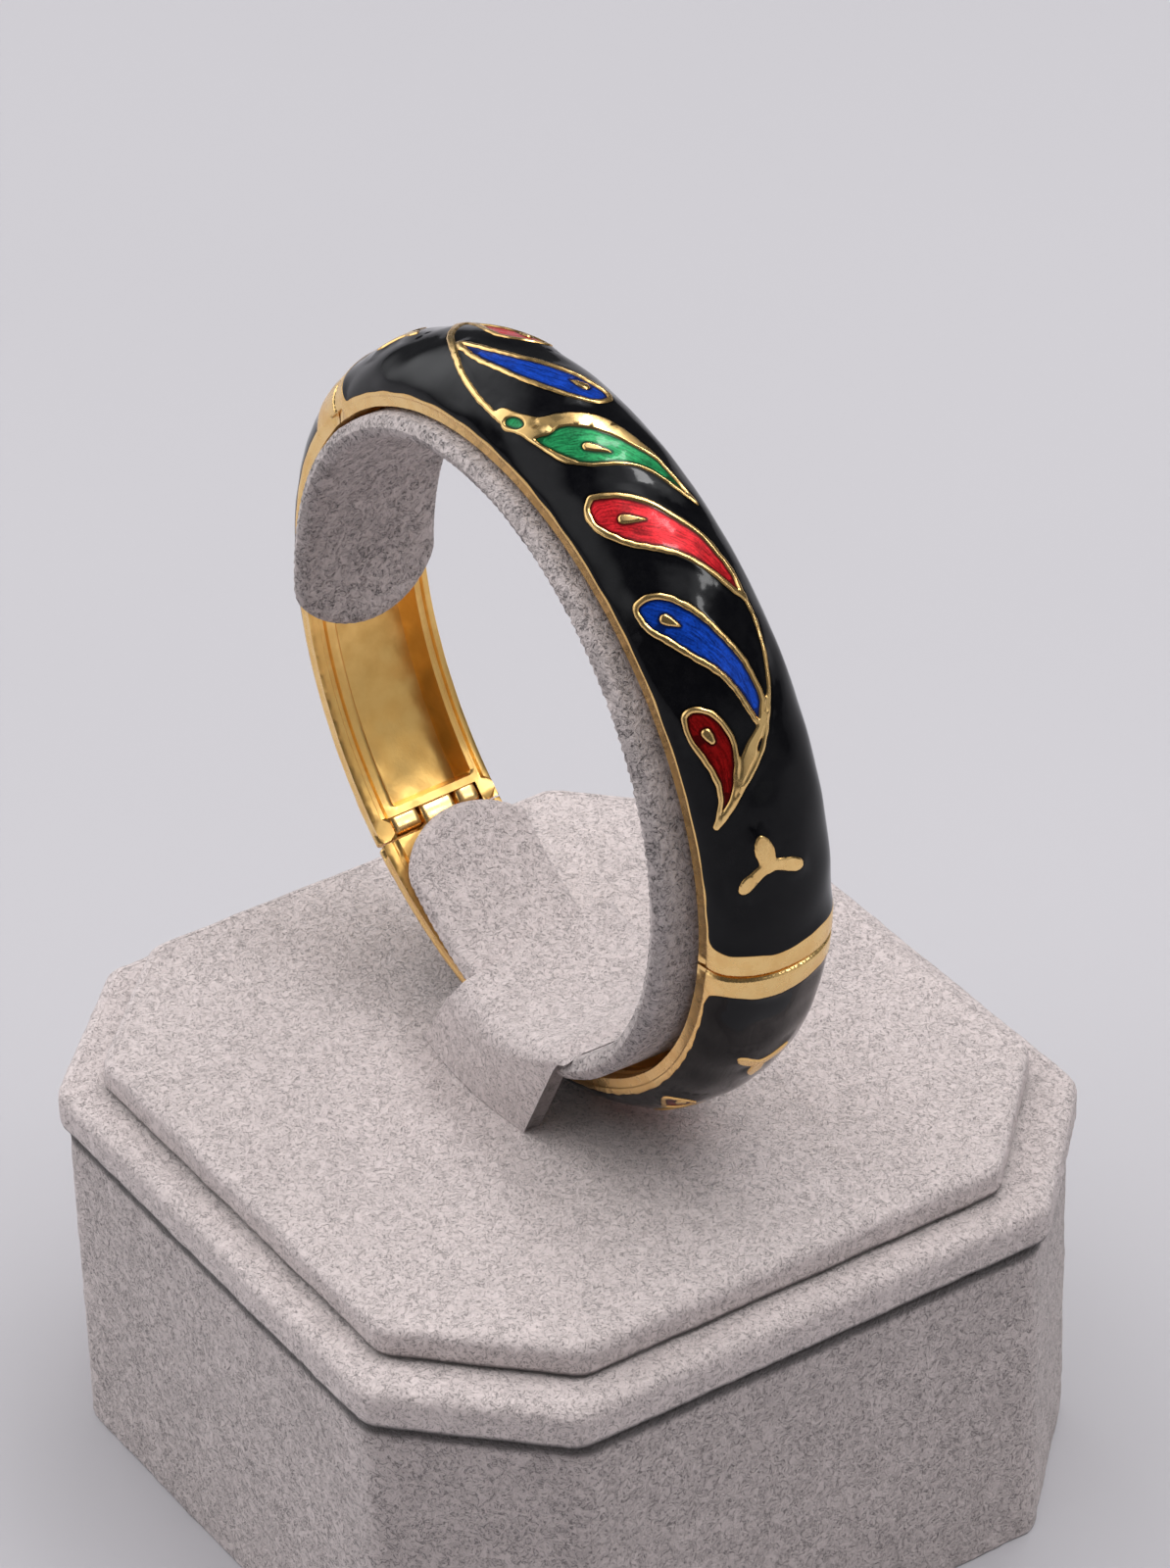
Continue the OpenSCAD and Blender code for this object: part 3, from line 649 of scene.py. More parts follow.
def panel_corners(dome, key):
    """Unrolled corners of a panel, with its hinge recesses."""
    (a, b), w, m = PANELS[key]["ends"], dome.half, NOTCH_HALF
    corners = [(a, -w), (b, -w), (b, w), (a, w)]
    if key in NOTCH:
        n0, n1 = NOTCH[key]
        corners = [(a, -w), (b, -w), (b, -m), (n1, -m), (n1, m), (b, m), (b, w), (a, w), (a, m),
                   (n0, m), (n0, -m), (a, -m)]
    return dome.flat(corners)


def panel_outline(dome, key):
    """The same outline with even steps."""
    corners = panel_corners(dome, key)
    loop = []
    for p, q in zip(corners, np.roll(corners, -1, axis=0)):
        n = max(2, int(np.linalg.norm(q - p) / 0.42))
        loop += [p + t * (q - p) for t in np.arange(n) / n]
    return np.array(loop)


def inside_radius(dome, part, u, y, seed):
    """Radius of the panel's inner face: rims with a groove, and a pocket with a floor."""
    def band(x, a, b, soft):
        return step_between(x, a, a + soft) * (1 - step_between(x, b - soft, b))

    floor = 2.6 + 0.03 * ripple(u, y, 3.2, seed) + 0.008 * ripple(u, y, 1.1, seed + 1)
    pocket = step_between(y, -3.55, -2.65) * (1 - step_between(y, 4.0, 4.4))
    groove = 0.28 * (band(y, -5.02, -4.38, 0.12) + band(y, 4.85, 5.3, 0.1))
    soft = 0.1 * (1 - unit((dome.half - np.abs(y)) / 0.14)) ** 2
    return (dome.inner_r + groove + soft + floor * pocket * band(u / DEG, *part["pocket"], 0.9)
            + 0.02 * ripple(u, y, 5, seed + 2))


class PanelMesh:
    """Triangles of one panel, and the pieces that are cut from them."""

    def __init__(self, dome, key):
        self.dome, self.key, self.part = dome, key, PANELS[key]
        self.field = gold_field(dome, self.part)
        self.outline = panel_outline(dome, key)
        self.u0, self.u1 = self.outline[:, 0].min(), self.outline[:, 0].max()
        self.cut()

    def cut(self):
        """Makes the triangles of the whole outside, and tells what each belongs to."""
        f, edge, u0, u1, near = self.field, self.dome.edge, self.u0, self.u1, 0.02
        loops = [self.outline]
        for loop in f.contours(0.0):
            u, s = loop.T
            if np.abs(s).max() < edge - near and u.min() > u0 + near and u.max() < u1 - near:
                loop = even_loop(loop, 0.13)
                if len(loop) > 8:
                    loops.append(loop)
        sieve = Sieve(0.1, loops)
        sieve.add_contours(f, ((0.09, 0.17, 0.07), (-0.13, 0.2, 0.09), (0.2, 0.2, 0.1),
                               (-0.4, 0.35, 0.2)))
        self.rim = Field((u0 - 0.2, u1 + 0.2), (-edge - 0.2, edge + 0.2), 0.08)
        self.rim.value = outline_field(self.rim.gu, self.rim.gv, panel_corners(self.dome, self.key))
        sieve.add_contours(self.rim, [(level, 0.3, 0.08) for level in (0.07, 0.17, 0.3)])
        sieve.add_lattice((u0 + 0.2, -edge + 0.2), (u1 - 0.1, edge - 0.1), 0.5, 0.28)
        self.uv, self.faces, kept, new = triangulated(loops, sieve.kept(self.rim.at, 0.04))
        self.outline_at = [new[i] for i in range(len(self.outline))]
        self.level = f.at(*self.uv.T)
        a, b, c = (self.uv[self.faces[:, k]] for k in range(3))
        area = np.abs(np.cross(b - a, c - a))
        middle = self.uv[self.faces].mean(axis=1)
        out, level = self.rim.at(*middle.T) < 0, f.at(*middle.T)
        self.kind = np.full(len(self.faces), OUTSIDE)
        label, count = regions(self.faces, kept)
        for k in range(count):
            mine = label == k
            if (area[mine] * out[mine]).sum() > 0.5 * area[mine].sum():
                continue
            if (area[mine] * level[mine]).sum() > 0:
                self.kind[mine] = GOLD
                continue
            self.kind[mine] = GROUND
            at = middle[np.argmax(np.where(mine, area, 0))]
            for i, (_, loop, _) in enumerate(f.leaves):
                if outline_field(at[:1], at[1:], loop)[0] > 0:
                    self.kind[mine] = i

    def height(self, u, s, what):
        """Height of the gold, the black enamel or the coloured enamel over the plain dome."""
        f, seed = self.field, self.part["seed"]
        here = f.at(u, s)
        depth = np.maximum(-here, 0)
        if what == "black":
            dip = 1 - np.exp(-(depth / 0.62) ** 1.4)
            bowl = 1 - np.exp(-(depth / 1.6) ** 2)
            return -0.03 - 0.1 * dip - 0.05 * bowl + dip * 0.045 * ripple(u, s, 5.6, seed + 3)
        if what == "colour":
            dip = 1 - np.exp(-(depth / 0.3) ** 1.4)
            return -0.045 - 0.05 * dip + dip * 0.02 * ripple(u, s, 2.0, seed + 4)
        level = np.maximum(here, 0)
        motif = unit((f.at(u, s, f.lines) - f.at(u, s, f.bed)) / 0.4 + 0.5)
        gold = -0.05 + (0.045 + 0.085 * motif) * (1 - (1 - unit(level / 0.13)) ** 2)
        gold += 0.006 * ripple(u, s, 1.5, seed) * unit(level / 0.1)
        gold += 0.02 * ripple(u, s, 6.0, seed + 1) * unit(level / 0.4)
        if self.key == "front":
            pit = stroke_field(u, s, self.dome.flat(PIT))
            gold -= 0.1 * step_between(pit, -0.03, 0.08)
            gold += 0.02 * ripple(u, s, 0.35, seed + 6) * step_between(pit, 0.0, 0.1)
        at_end = np.where(np.minimum(np.abs(u - self.u0), np.abs(u - self.u1)) < 1.2, 0.3, 0.07)
        return gold - at_end * (1 - unit(self.rim.at(u, s) / 0.24)) ** 2

    def surface(self, what, index=slice(None)):
        """Points of a top face, and the directions in which it faces."""
        (u, s), e = self.uv[index].T, 0.05

        def at(du, ds):
            return self.dome.place(u + du, s + ds, self.height(u + du, s + ds, what))
        return at(0, 0), unit_rows(np.cross(at(0, e) - at(0, -e), at(e, 0) - at(-e, 0)))

    def gold_skin(self):
        """Closed gold solid with the sunk bed, its inner face and its walls."""
        gold, facing = self.surface("gold")
        d, skin, ring = self.dome, Skin(), self.outline_at
        top = self.faces[self.kind == GOLD]
        low = self.faces[(self.kind != GOLD) & (self.kind != OUTSIDE)]
        start = skin.add(gold, [], wear=unit(self.level / 0.12))
        base = skin.add(d.place(*self.uv.T, np.full(len(gold), -0.5)), [], wear=np.zeros(len(gold)))
        skin.join((start + top[:, ::-1]).tolist())
        skin.facing = (len(top), facing)
        skin.join((base + low[:, ::-1]).tolist())
        rim = {(ring[i], ring[k]) for i, k in around(len(ring))}
        skin.wall(start, base, [(e, e) for e in rim_edges(top)
                                if e not in rim and e[::-1] not in rim])
        # inner face, from the same outline
        flat = np.stack([self.outline[:, 0], d.across(self.outline[:, 1])], axis=1)
        a, b = self.part["pocket"]
        columns = list(np.arange(a + 1.2, b - 1.1, self.part["column"]))
        columns += [a - 1, a, a + 0.3, a + 0.6, a + 0.9, b - 0.9, b - 0.6, b - 0.3, b, b + 1]
        grid = np.array([(c * DEG, y) for c in columns for y in INNER_ROWS])
        verts, faces, new = filled(flat, grid[outline_field(*grid.T, flat) > 0.05])
        u, y = verts.T
        r = inside_radius(d, self.part, u, y, self.part["seed"] + 9)
        inner = skin.add(ring_point(u / DEG, r, y), faces, slot=1, wear=np.ones(len(u)))
        skin.wall(start, inner, [((ring[i], ring[k]), (new[i], new[k]))
                                 for i, k in around(len(ring))])
        return skin

    def enamel_skin(self, kind, what):
        """Closed solid of the enamel in one region."""
        skin, faces = Skin(), self.faces[self.kind == kind]
        if not len(faces):
            raise RuntimeError(f"no enamel for region {kind} of the {self.key} panel")
        names, flat = np.unique(faces, return_inverse=True)
        faces = flat.reshape(faces.shape)
        values = {"edge": np.clip(-self.level[names], 0, 1.2)}
        if kind >= 0:
            values["leaf"] = leaf_places(*self.uv[names].T, self.field.leaves[kind][2])
        points, facing = self.surface(what, names)
        top = skin.add(points, faces, flip=True, **values)
        skin.facing = (len(faces), facing)
        deep = np.full(len(names), -0.48)
        low = skin.add(self.dome.place(*self.uv[names].T, deep), faces, **values)
        skin.wall(top, low, [(e, e) for e in rim_edges(faces)])
        return skin


def leaf_places(u, s, line):
    """Place of each point along and across a leaf's middle line."""
    best = np.full(len(u), 1e9)
    along, across, run = np.zeros(len(u)), np.zeros(len(u)), 0.0
    for a, b in zip(line[:-1], line[1:]):
        (t, far), d = to_line(u, s, a, b), b - a
        length = float(np.linalg.norm(d))
        closer = far < best
        best = np.where(closer, far, best)
        along = np.where(closer, run + t * length, along)
        across = np.where(closer, np.sign(d[0] * (s - a[1]) - d[1] * (u - a[0])) * far, across)
        run += length
    return np.stack([along, across, np.zeros(len(u))], axis=1)


def prism(profile, y0, y1, bevel, angle, mirror, dome, skin):
    """Adds a block of the hinge: an outline across its pin, drawn out along the pin."""
    shape = np.array(profile, float)
    shape[:, 1] *= mirror
    middle = shape.mean(axis=0)
    small = middle + (shape - middle) * (1 - bevel / np.abs(shape - middle).max())
    stations = [(y0, small), (y0 + bevel, shape)]
    stations += [(y, shape) for y in np.linspace(y0, y1, max(3, int((y1 - y0) / 0.4)))[1:-1]]
    stations += [(y1 - bevel, shape), (y1, small)]
    stations.sort(key=lambda station: station[0])
    a, n, points = math.radians(angle), len(shape), []
    for y, ring in stations:
        x, t = HINGE_R + ring[:, 0], ring[:, 1]
        px, pz = x * math.cos(a) - t * math.sin(a), x * math.sin(a) + t * math.cos(a)
        r = np.minimum(np.hypot(px, pz), np.interp(y, dome.y, dome.r) - 0.06)
        points.append(ring_point(np.degrees(np.arctan2(pz, px)), r, np.full(n, y)))
    last = n * len(stations) - n
    faces = [list(range(n)), list(range(last, last + n))[::-1]]
    faces += [[k + i, k + n + i, k + n + j, k + j] for k in range(0, last, n) for i, j in around(n)]
    skin.add(np.vstack(points), faces, flip=mirror > 0, wear=np.ones(last + n))


def knuckle(behind, beyond, y0, y1, angle, mirror, dome, skin):
    """Adds a hinge block: foot, and barrel over the pin. The panel lies at the minus side."""
    arc = [(math.cos(k), math.sin(k)) for k in np.radians(np.arange(95, -96, -10))]
    prism(arc + [(-0.4, -behind + 0.1), (-2.9, -behind), (-3.15, -behind + 0.3), (-3.2, 0),
                 (-3.15, beyond - 0.25), (-2.9, beyond), (-0.8, beyond)],
          y0, y1, 0.15, angle, mirror, dome, skin)


def soft_strip(skin, outline, place, thick):
    """Adds a soft-edged strip: its outline is half way up, and both faces round over to it."""
    spacing, levels, reach = 0.9, (0.12, 0.3, 0.55, 0.9), 0.75
    lo, hi = outline.min(axis=0) - 0.6, outline.max(axis=0) + 0.6
    f = Field((lo[0], hi[0]), (lo[1], hi[1]), spacing / 4)
    f.value = outline_field(f.gu, f.gv, outline)
    sieve = Sieve(0.3)
    sieve.add_contours(f, [(level, spacing, spacing * 0.2) for level in levels])
    sieve.add_lattice(lo, hi, spacing, spacing * 0.55)
    verts, faces, new = filled(outline, sieve.kept(f.at, levels[0] * 0.6))
    u, v = verts.T
    deep = np.clip(outline_field(u, v, outline), 0, reach) / reach
    half = thick / 2 * np.sqrt(unit(1 - (1 - deep) ** 2))
    wave = (0.05 * ripple(u, v, 6.0, 5) - 0.03) * deep
    top = skin.add(place(u, v, wave + half), faces, flip=True)
    low = skin.add(place(u, v, wave - half), faces)
    skin.wall(top, low, [((new[i], new[k]),) * 2 for i, k in around(len(outline))])
    return verts


# Materials


class Nodes:
    """Adds shader nodes to one tree; an input is given a value or another node's socket."""

    def __init__(self, tree):
        self.tree = tree

    def feed(self, node, inputs):
        """Sets or links a node's inputs."""
        for key, value in inputs.items():
            if isinstance(value, bpy.types.NodeSocket):
                self.tree.links.new(value, node.inputs[key])
            else:
                node.inputs[key].default_value = value
        return node

    def add(self, kind, inputs=None, **settings):
        node = self.tree.nodes.new(kind)
        for key, value in settings.items():
            setattr(node, key, value)
        return self.feed(node, inputs or {})

    def math(self, operation, a, b=0.0, c=0.0):
        return self.add("ShaderNodeMath", {0: a, 1: b, 2: c}, operation=operation).outputs[0]

    def blend(self, *parts):
        """Sum of values, each with its share."""
        total = self.math("MULTIPLY", *parts[0])
        for part in parts[1:]:
            total = self.math("ADD", total, self.math("MULTIPLY", *part))
        return total

    def span(self, value, low, high, to_low=0.0, to_high=1.0):
        return self.add("ShaderNodeMapRange",
                        {"Value": value, "From Min": low, "From Max": high, "To Min": to_low,
                         "To Max": to_high}, interpolation_type="SMOOTHSTEP").outputs["Result"]

    def noise(self, vector, scale, detail=2.0, rough=0.5, twist=0.0):
        return self.add("ShaderNodeTexNoise",
                        {"Vector": vector, "Scale": scale, "Detail": detail, "Roughness": rough,
                         "Distortion": twist}).outputs["Fac"]

    def mix(self, factor, a, b):
        return self.add("ShaderNodeMix", {0: factor, 6: a, 7: b}, data_type="RGBA").outputs[2]


def shared_group(name, ins, build):
    """Shader node group with named inputs; build makes its colour, height and roughness."""
    if name in bpy.data.node_groups:
        return bpy.data.node_groups[name]
    tree = bpy.data.node_groups.new(name, "ShaderNodeTree")
    outs = {"Colour": "Color", "Height": "Float", "Rough": "Float"}
    for side, sockets in (("INPUT", (("Vector", "Vector"), ("Colour", "Color"), *ins)),
                          ("OUTPUT", outs.items())):
        for label, kind, *value in sockets:
            socket = tree.interface.new_socket(name=label, in_out=side,
                                               socket_type="NodeSocket" + kind)
            if value:
                socket.default_value = value[0]
    n = Nodes(tree)
    results = build(n, n.add("NodeGroupInput").outputs)
    n.add("NodeGroupOutput", dict(zip(outs, results)))
    return tree


def nap(n, given):
    """Nap of suede: colour that drifts, lies in short worm-like tufts and has dark flecks, with
    painted shade along the seams of the stand.
    """
    at, scale = given["Vector"], given["Tuft Scale"]
    drift = n.noise(at, 60.0, 3.0, 0.6)
    mottle = n.noise(at, 330.0, 3.0, 0.65, 0.6)
    tuft = n.noise(at, scale, 3.0, 0.62, 1.4)
    curl = n.noise(at, n.math("MULTIPLY", scale, 1.1), 1.5, 0.5, 1.6)
    hair = n.noise(at, n.math("MULTIPLY", scale, 3.4), 2.0, 0.6, 1.0)
    # short curly furrows: where one noise passes its middle value and another is high
    off_middle = n.math("ABSOLUTE", n.math("SUBTRACT", curl, 0.5))
    furrow = n.math("MULTIPLY", n.math("SUBTRACT", 1.0, n.span(off_middle, 0.0, 0.045)),
                    n.span(tuft, 0.6, 0.42))
    shade = n.blend((n.span(tuft, 0.36, 0.64), 0.5), (n.span(mottle, 0.35, 0.68), 0.2),
                    (n.span(drift, 0.35, 0.7), 0.12), (n.span(hair, 0.3, 0.7), 0.18))
    colour = n.mix(shade, given["Shade Colour"], given["Colour"])
    colour = n.mix(n.math("MULTIPLY", furrow, given["Fleck Amount"]), colour, given["Fleck Colour"])
    # painted shade: the colour goes nearly black along the seams between slabs, where the attribute
    # is set
    return (n.mix(given["Gap"], colour, (0.02, 0.017, 0.016, 1)),
            n.math("SUBTRACT", n.blend((tuft, 0.6), (hair, 0.16)),
                   n.math("MULTIPLY", furrow, 0.22)),
            n.span(tuft, 0.3, 0.7, 0.82, 0.98))


def cast(n, given):
    """Hand-finished metal: soft waves, fine grain and dark places where it isn't worn bright."""
    at, smooth = given["Vector"], given["Smooth Roughness"]
    wave = n.noise(at, 380.0, 2.0, 0.5)
    grain = n.noise(at, 3200.0, 3.0, 0.65)
    cloud = n.noise(at, 520.0, 3.0, 0.6)
    dirt = n.math("SUBTRACT", 1.0, n.span(given["Wear"], 0.05, 0.75))
    tone = n.math("MAXIMUM", n.math("MULTIPLY", n.span(cloud, 0.3, 0.75), 0.45),
                  n.math("MULTIPLY", dirt, 0.9))
    return (n.mix(tone, given["Colour"], given["Deep Colour"]),
            n.blend((wave, 0.75), (n.math("MULTIPLY", grain, given["Grain"]), 0.25)),
            n.math("MULTIPLY_ADD", n.span(cloud, 0.35, 0.7),
                   n.math("SUBTRACT", given["Rough Roughness"], smooth), smooth))


def fired(n, given):
    """Fired enamel: darker where it is thick at the walls, with lines drawn along the leaf."""
    at, lines = given["Vector"], given["Lines"]
    bend = n.noise(at, 420.0, 2.0, 0.5)
    place = n.add("ShaderNodeSeparateXYZ", {"Vector": given["Leaf"]}).outputs
    lane = n.math("MULTIPLY_ADD", bend, 0.8, place["Y"])
    thread = n.add("ShaderNodeCombineXYZ", {"X": n.math("MULTIPLY", place["X"], 0.5),
                                            "Y": n.math("MULTIPLY", lane, 5.0)}).outputs[0]
    line = n.noise(thread, 1.0, 3.0, 0.65, 0.5)
    cloud = n.noise(at, 900.0, 3.0, 0.6)
    grain = n.noise(at, 5200.0, 2.0, 0.6)
    edge = n.span(given["Edge"], 0.0, 0.3)
    tone = n.blend((n.span(line, 0.41, 0.6), lines),
                   (n.span(cloud, 0.3, 0.7), n.math("SUBTRACT", 1.0, lines)))
    tone = n.blend((tone, 0.72), (n.span(grain, 0.35, 0.65), 0.28))
    colour = n.mix(n.math("MULTIPLY", tone, edge), given["Colour"], given["Bright Colour"])
    return (n.mix(edge, given["Deep Colour"], colour),
            n.math("ADD", n.noise(at, 260.0, 1.0, 0.4), n.math("MULTIPLY", cloud, 0.12)),
            n.span(line, 0.2, 0.8, 0.28, 0.46))


def surface(name, group, values, read, strength, depth, settings):
    """Material from a shared group: values, attributes that it reads, bump and shader settings."""
    m = bpy.data.materials.new(name)
    m.use_nodes = True
    n = Nodes(m.node_tree)
    inputs = {key: (*v, 1) if isinstance(v, tuple) else v for key, v in values.items()}
    for key, attribute, output in read:
        inputs[key] = n.add("ShaderNodeAttribute", attribute_name=attribute).outputs[output]
    inputs["Vector"] = n.add("ShaderNodeTexCoord").outputs["Object"]
    made = n.add("ShaderNodeGroup", inputs, node_tree=group).outputs
    bump = n.add("ShaderNodeBump", {"Height": made["Height"], "Strength": strength,
                                    "Distance": depth}).outputs["Normal"]
    shader = {"Base Color": made["Colour"], "Roughness": made["Rough"], "Normal": bump, **settings}
    if "Coat Weight" in settings:
        shader["Coat Normal"] = bump
    n.feed(m.node_tree.nodes["Principled BSDF"],
           {key: value for key, value in shader.items() if value is not None})
    return m


# Colour and shade of the suede over the stand's own, depth of its nap, amount of flecks, scale of
# the tufts, and sheen
SUEDES = {
    "suede top": (1.0, 1.0, 1.05, 0.65, 1600.0, 0.25),
    # painted shade: the side and holder copies are darker versions of the top suede, for faces that
    # get less light
    "suede side": (0.87, 0.86, 1.2, 0.75, 1350.0, 0.25),
    "suede holder": (0.86, 0.72, 1.7, 0.95, 1250.0, 0.25),
    "suede cut edge": (0.40, 1.0, 0.6, 0.6, 1300.0, 0.1),
}


def suede(name, factor, shade, depth, flecks, tuft, sheen):
    """Matte suede."""
    group = shared_group(
        "Suede nap", (("Shade Colour", "Color"), ("Fleck Colour", "Color"),
                      ("Tuft Scale", "Float", 900.0), ("Fleck Amount", "Float", 0.5),
                      ("Gap", "Float", 0.0)), nap)
    c = bpy.context.scene.bangle_colours
    colour, dark, fleck = (tuple(v * k for v in tone) for tone, k in (
        (c.suede, factor), (c.suede_shade, factor * shade), (c.fleck, factor * shade)))
    return surface(name, group,
                   {"Colour": colour, "Shade Colour": dark, "Fleck Colour": fleck,
                    "Tuft Scale": tuft, "Fleck Amount": flecks}, (("Gap", "gap", "Fac"),),
                   0.9, 0.0004 * depth,
                   {"Specular IOR Level": 0.15, "Sheen Weight": sheen, "Sheen Roughness": 0.6,
                    "Sheen Tint": (0.95, 0.93, 0.92, 1)})


def metal(name, colour, deep, grain, rough, depth, read=(("Wear", "wear", "Fac"),)):
    """Gilt metal."""
    group = shared_group(
        "Cast metal", (("Deep Colour", "Color"), ("Wear", "Float", 1.0), ("Grain", "Float", 0.3),
                       ("Smooth Roughness", "Float", 0.12),
                       ("Rough Roughness", "Float", 0.3)), cast)
    return surface(name, group,
                   {"Colour": colour, "Deep Colour": deep, "Grain": grain,
                    "Smooth Roughness": rough[0], "Rough Roughness": rough[1]}, read,
                   0.6, depth, {"Metallic": 1.0})


def enamel(name, colour, deep, bright, lines, settings):
    """Glossy enamel. Clear enamel shows brushed metal below it; black enamel is solid."""
    group = shared_group(
        "Fired enamel", (("Leaf", "Vector"), ("Edge", "Float"), ("Deep Colour", "Color"),
                         ("Bright Colour", "Color"), ("Lines", "Float", 0.5)), fired)
    return surface(name, group, {"Colour": colour, "Deep Colour": deep, "Bright Colour": bright,
                                 "Lines": lines},
                   (("Edge", "edge", "Fac"), ("Leaf", "leaf", "Vector")), 0.5, 0.00005, settings)


CLEAR = {"Metallic": 0.4, "Specular IOR Level": 0.1, "Coat Weight": 0.28, "Coat Roughness": 0.1,
         "Coat IOR": 1.5}
SOLID = {"Roughness": 0.08, "IOR": 1.45, "Specular IOR Level": 0.2}


def finish(name):
    """One of the finishes, made when it is first asked for."""
    c = bpy.context.scene.bangle_colours
    if name in bpy.data.materials:
        return bpy.data.materials[name]
    if name in SUEDES:
        return suede(name, *SUEDES[name])
    if name == "polished gold":
        return metal(name, tuple(c.gold), (0.84, 0.48, 0.15), 0.3, (0.22, 0.34), 0.00006)
    if name == "satin gold":
        return metal(name, tuple(c.gold_inside), (0.80, 0.46, 0.12), 1.0, (0.30, 0.42), 0.00006)
    if name == "pin metal":
        return metal(name, (0.9, 0.6, 0.25), (0.5, 0.3, 0.1), 0.5, (0.2, 0.4), 0.0001, ())
    if name == "black enamel":
        return enamel(name, tuple(c.black), (0.0015,) * 3, (0.005, 0.005, 0.006), 0.1, SOLID)
    tone = getattr(c, name.removesuffix(" enamel").replace(" ", "_"))
    return enamel(name, tuple(0.5 * v for v in tone), tuple(0.12 * v for v in tone),
                  tuple(min(1, 1.9 * v + 0.004) for v in tone), 0.7, CLEAR)


# Sizes and colours that a user would change


def colour_property(name, what, value):
    return FloatVectorProperty(name=name, description=what, default=value, size=3, min=0, max=1,
                               subtype="COLOR")


def length_property(name, what, value, low, high):
    return FloatProperty(name=name, description=what, default=value, min=low, max=high,
                         unit="LENGTH", precision=5)


class BangleSizes(bpy.types.PropertyGroup):
    """Sizes of the bangle."""

    inner_radius: length_property("Inner Radius", "Inside radius of the bangle", 0.029, 0.027,
                                  0.033)
    side_height: length_property("Side Height", "Height of the straight gold side", 0.0009, 0.0005,
                                 0.0015)
    dome_rise: length_property("Dome Rise", "How far the dome stands over the sides", 0.0036, 0.003,
                               0.0036)
    half_width: length_property("Half Width", "Half the width of the bangle", 0.0059, 0.005, 0.006)
    holder_thickness: length_property("Holder Thickness", "Thickness of the covered strip", 0.002,
                                      0.0015, 0.002)
    strap_thickness: length_property("Strap Thickness", "Thickness of the strap", 0.001, 0.0006,
                                     0.001)
    edge_radius: length_property("Stand Edge Radius", "Rounding of the stand's edges", 0.0009,
                                 0.0004, 0.0015)


class BangleColours(bpy.types.PropertyGroup):
    """Colours of the metal, the enamel and the suede."""

    gold: colour_property("Gold", "Polished gold outside", (0.98, 0.67, 0.285))
    gold_inside: colour_property("Gold Inside", "Gold on the inner faces", (1.0, 0.63, 0.21))
    black: colour_property("Black Enamel", "Ground enamel", (0.002, 0.002, 0.003))
    red: colour_property("Red Enamel", "Bright red leaves", (0.46, 0.011, 0.017))
    dark_red: colour_property("Dark Red Enamel", "Dark red leaves", (0.20, 0.001, 0.001))
    blue: colour_property("Blue Enamel", "Blue leaves", (0.001, 0.037, 0.31))
    green: colour_property("Green Enamel", "Green leaves", (0.010, 0.185, 0.06))
    suede: colour_property("Suede", "Suede of the stand", (0.76, 0.66, 0.645))
    suede_shade: colour_property("Suede Shade", "Suede between the tufts", (0.56, 0.485, 0.475))
    fleck: colour_property("Fleck", "Dark flecks in the nap", (0.17, 0.15, 0.15))


class BangleStage(bpy.types.PropertyGroup):
    """Light and floor."""

    floor: colour_property("Floor", "Colour of the floor", (0.50, 0.485, 0.51))
    lamps: FloatProperty(name="Lamps", description="Strength of the soft lamps of the room",
                         default=1.0, min=0)
    key: FloatProperty(name="Overhead Light", description="Power of the large overhead light",
                       default=8.2, min=0, unit="POWER")
    air: FloatProperty(name="Room Light", description="Strength of the light from all round",
                       default=0.08, min=0)


# Soft lamps that show in polished faces: direction, angles of full and of no light, and strength
LOBES = (((-0.30, 0.45, 0.84), 2, 14, 1.4), ((0.12, 0.45, 0.87), 2, 14, 1.4),
         ((0.52, 0.45, 0.70), 2, 12, 1.4), ((0.10, 0.40, 0.91), 8, 34, 1.2),
         ((-0.85, -0.25, 0.45), 5, 36, 1.8), ((-0.30, -0.85, 0.45), 6, 32, 1.3),
         ((0.84, 0.45, 0.20), 8, 34, 0.35))
# Round lamps that only polished faces show: direction, radius as an angle, and brightness
GLINTS = (((-0.30, 0.45, 0.84), 5.5, 15.0), ((0.12, 0.45, 0.87), 5.0, 17.0),
          ((0.52, 0.45, 0.70), 4.5, 12.0))
GLINT_FAR, GLINT_Z = 1.5, 0.07
# Large lights for matte faces: place, width, height, and share of the power
AREAS = (("overhead light", (0.0, 0.02, 0.90), (1.3, 1.3), 1.0),
         ("left light", (-0.80, -0.70, 0.62), (1.3, 1.0), 0.20),
         ("right light", (0.85, 0.55, 0.62), (1.0, 0.8), 0.17))
# The camera, as it was fitted to the picture: place, direction, side and focal length
CAMERA_AT, CAMERA_LENS = (0.384356, -0.245236, 0.381042), 155.64
CAMERA_LOOK, CAMERA_RIGHT = (-0.69127, 0.44599, -0.56854), (0.55537, 0.83128, -0.02315)

# Operators


def dress(obj, body, node):
    """Lets a visible piece ride on its body and take the place of a CAD node."""
    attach(obj, body)
    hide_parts(node)


class Piece:
    """What the operators share."""

    bl_options = {"REGISTER", "UNDO"}


class PanelPiece(Piece):
    """Shared work of the three panel operators."""

    key = ""

    def execute(self, context):
        """Builds the gold, the black ground and the coloured leaves of one panel."""
        dome = Dome(context.scene.bangle_sizes)
        mesh = PanelMesh(dome, self.key)
        body = mesh.part["body"]
        skin = mesh.gold_skin()
        self.hinge(dome, skin)
        dress(skin.shown(self.key + "_gold", ["polished gold", "satin gold"]), body,
              self.key + "_panel")
        dress(mesh.enamel_skin(GROUND, "black").shown(self.key + "_ground", ["black enamel"]), body,
              self.key + "_enamel")
        for i, (name, _, _) in enumerate(mesh.field.leaves):
            leaf = mesh.enamel_skin(i, "colour").shown(f"{self.key}_glaze_{i + 1}",
                                                       [name.replace("_", " ") + " enamel"])
            dress(leaf, body, f"{self.key}_leaf_{i + 1}")
        return {"FINISHED"}


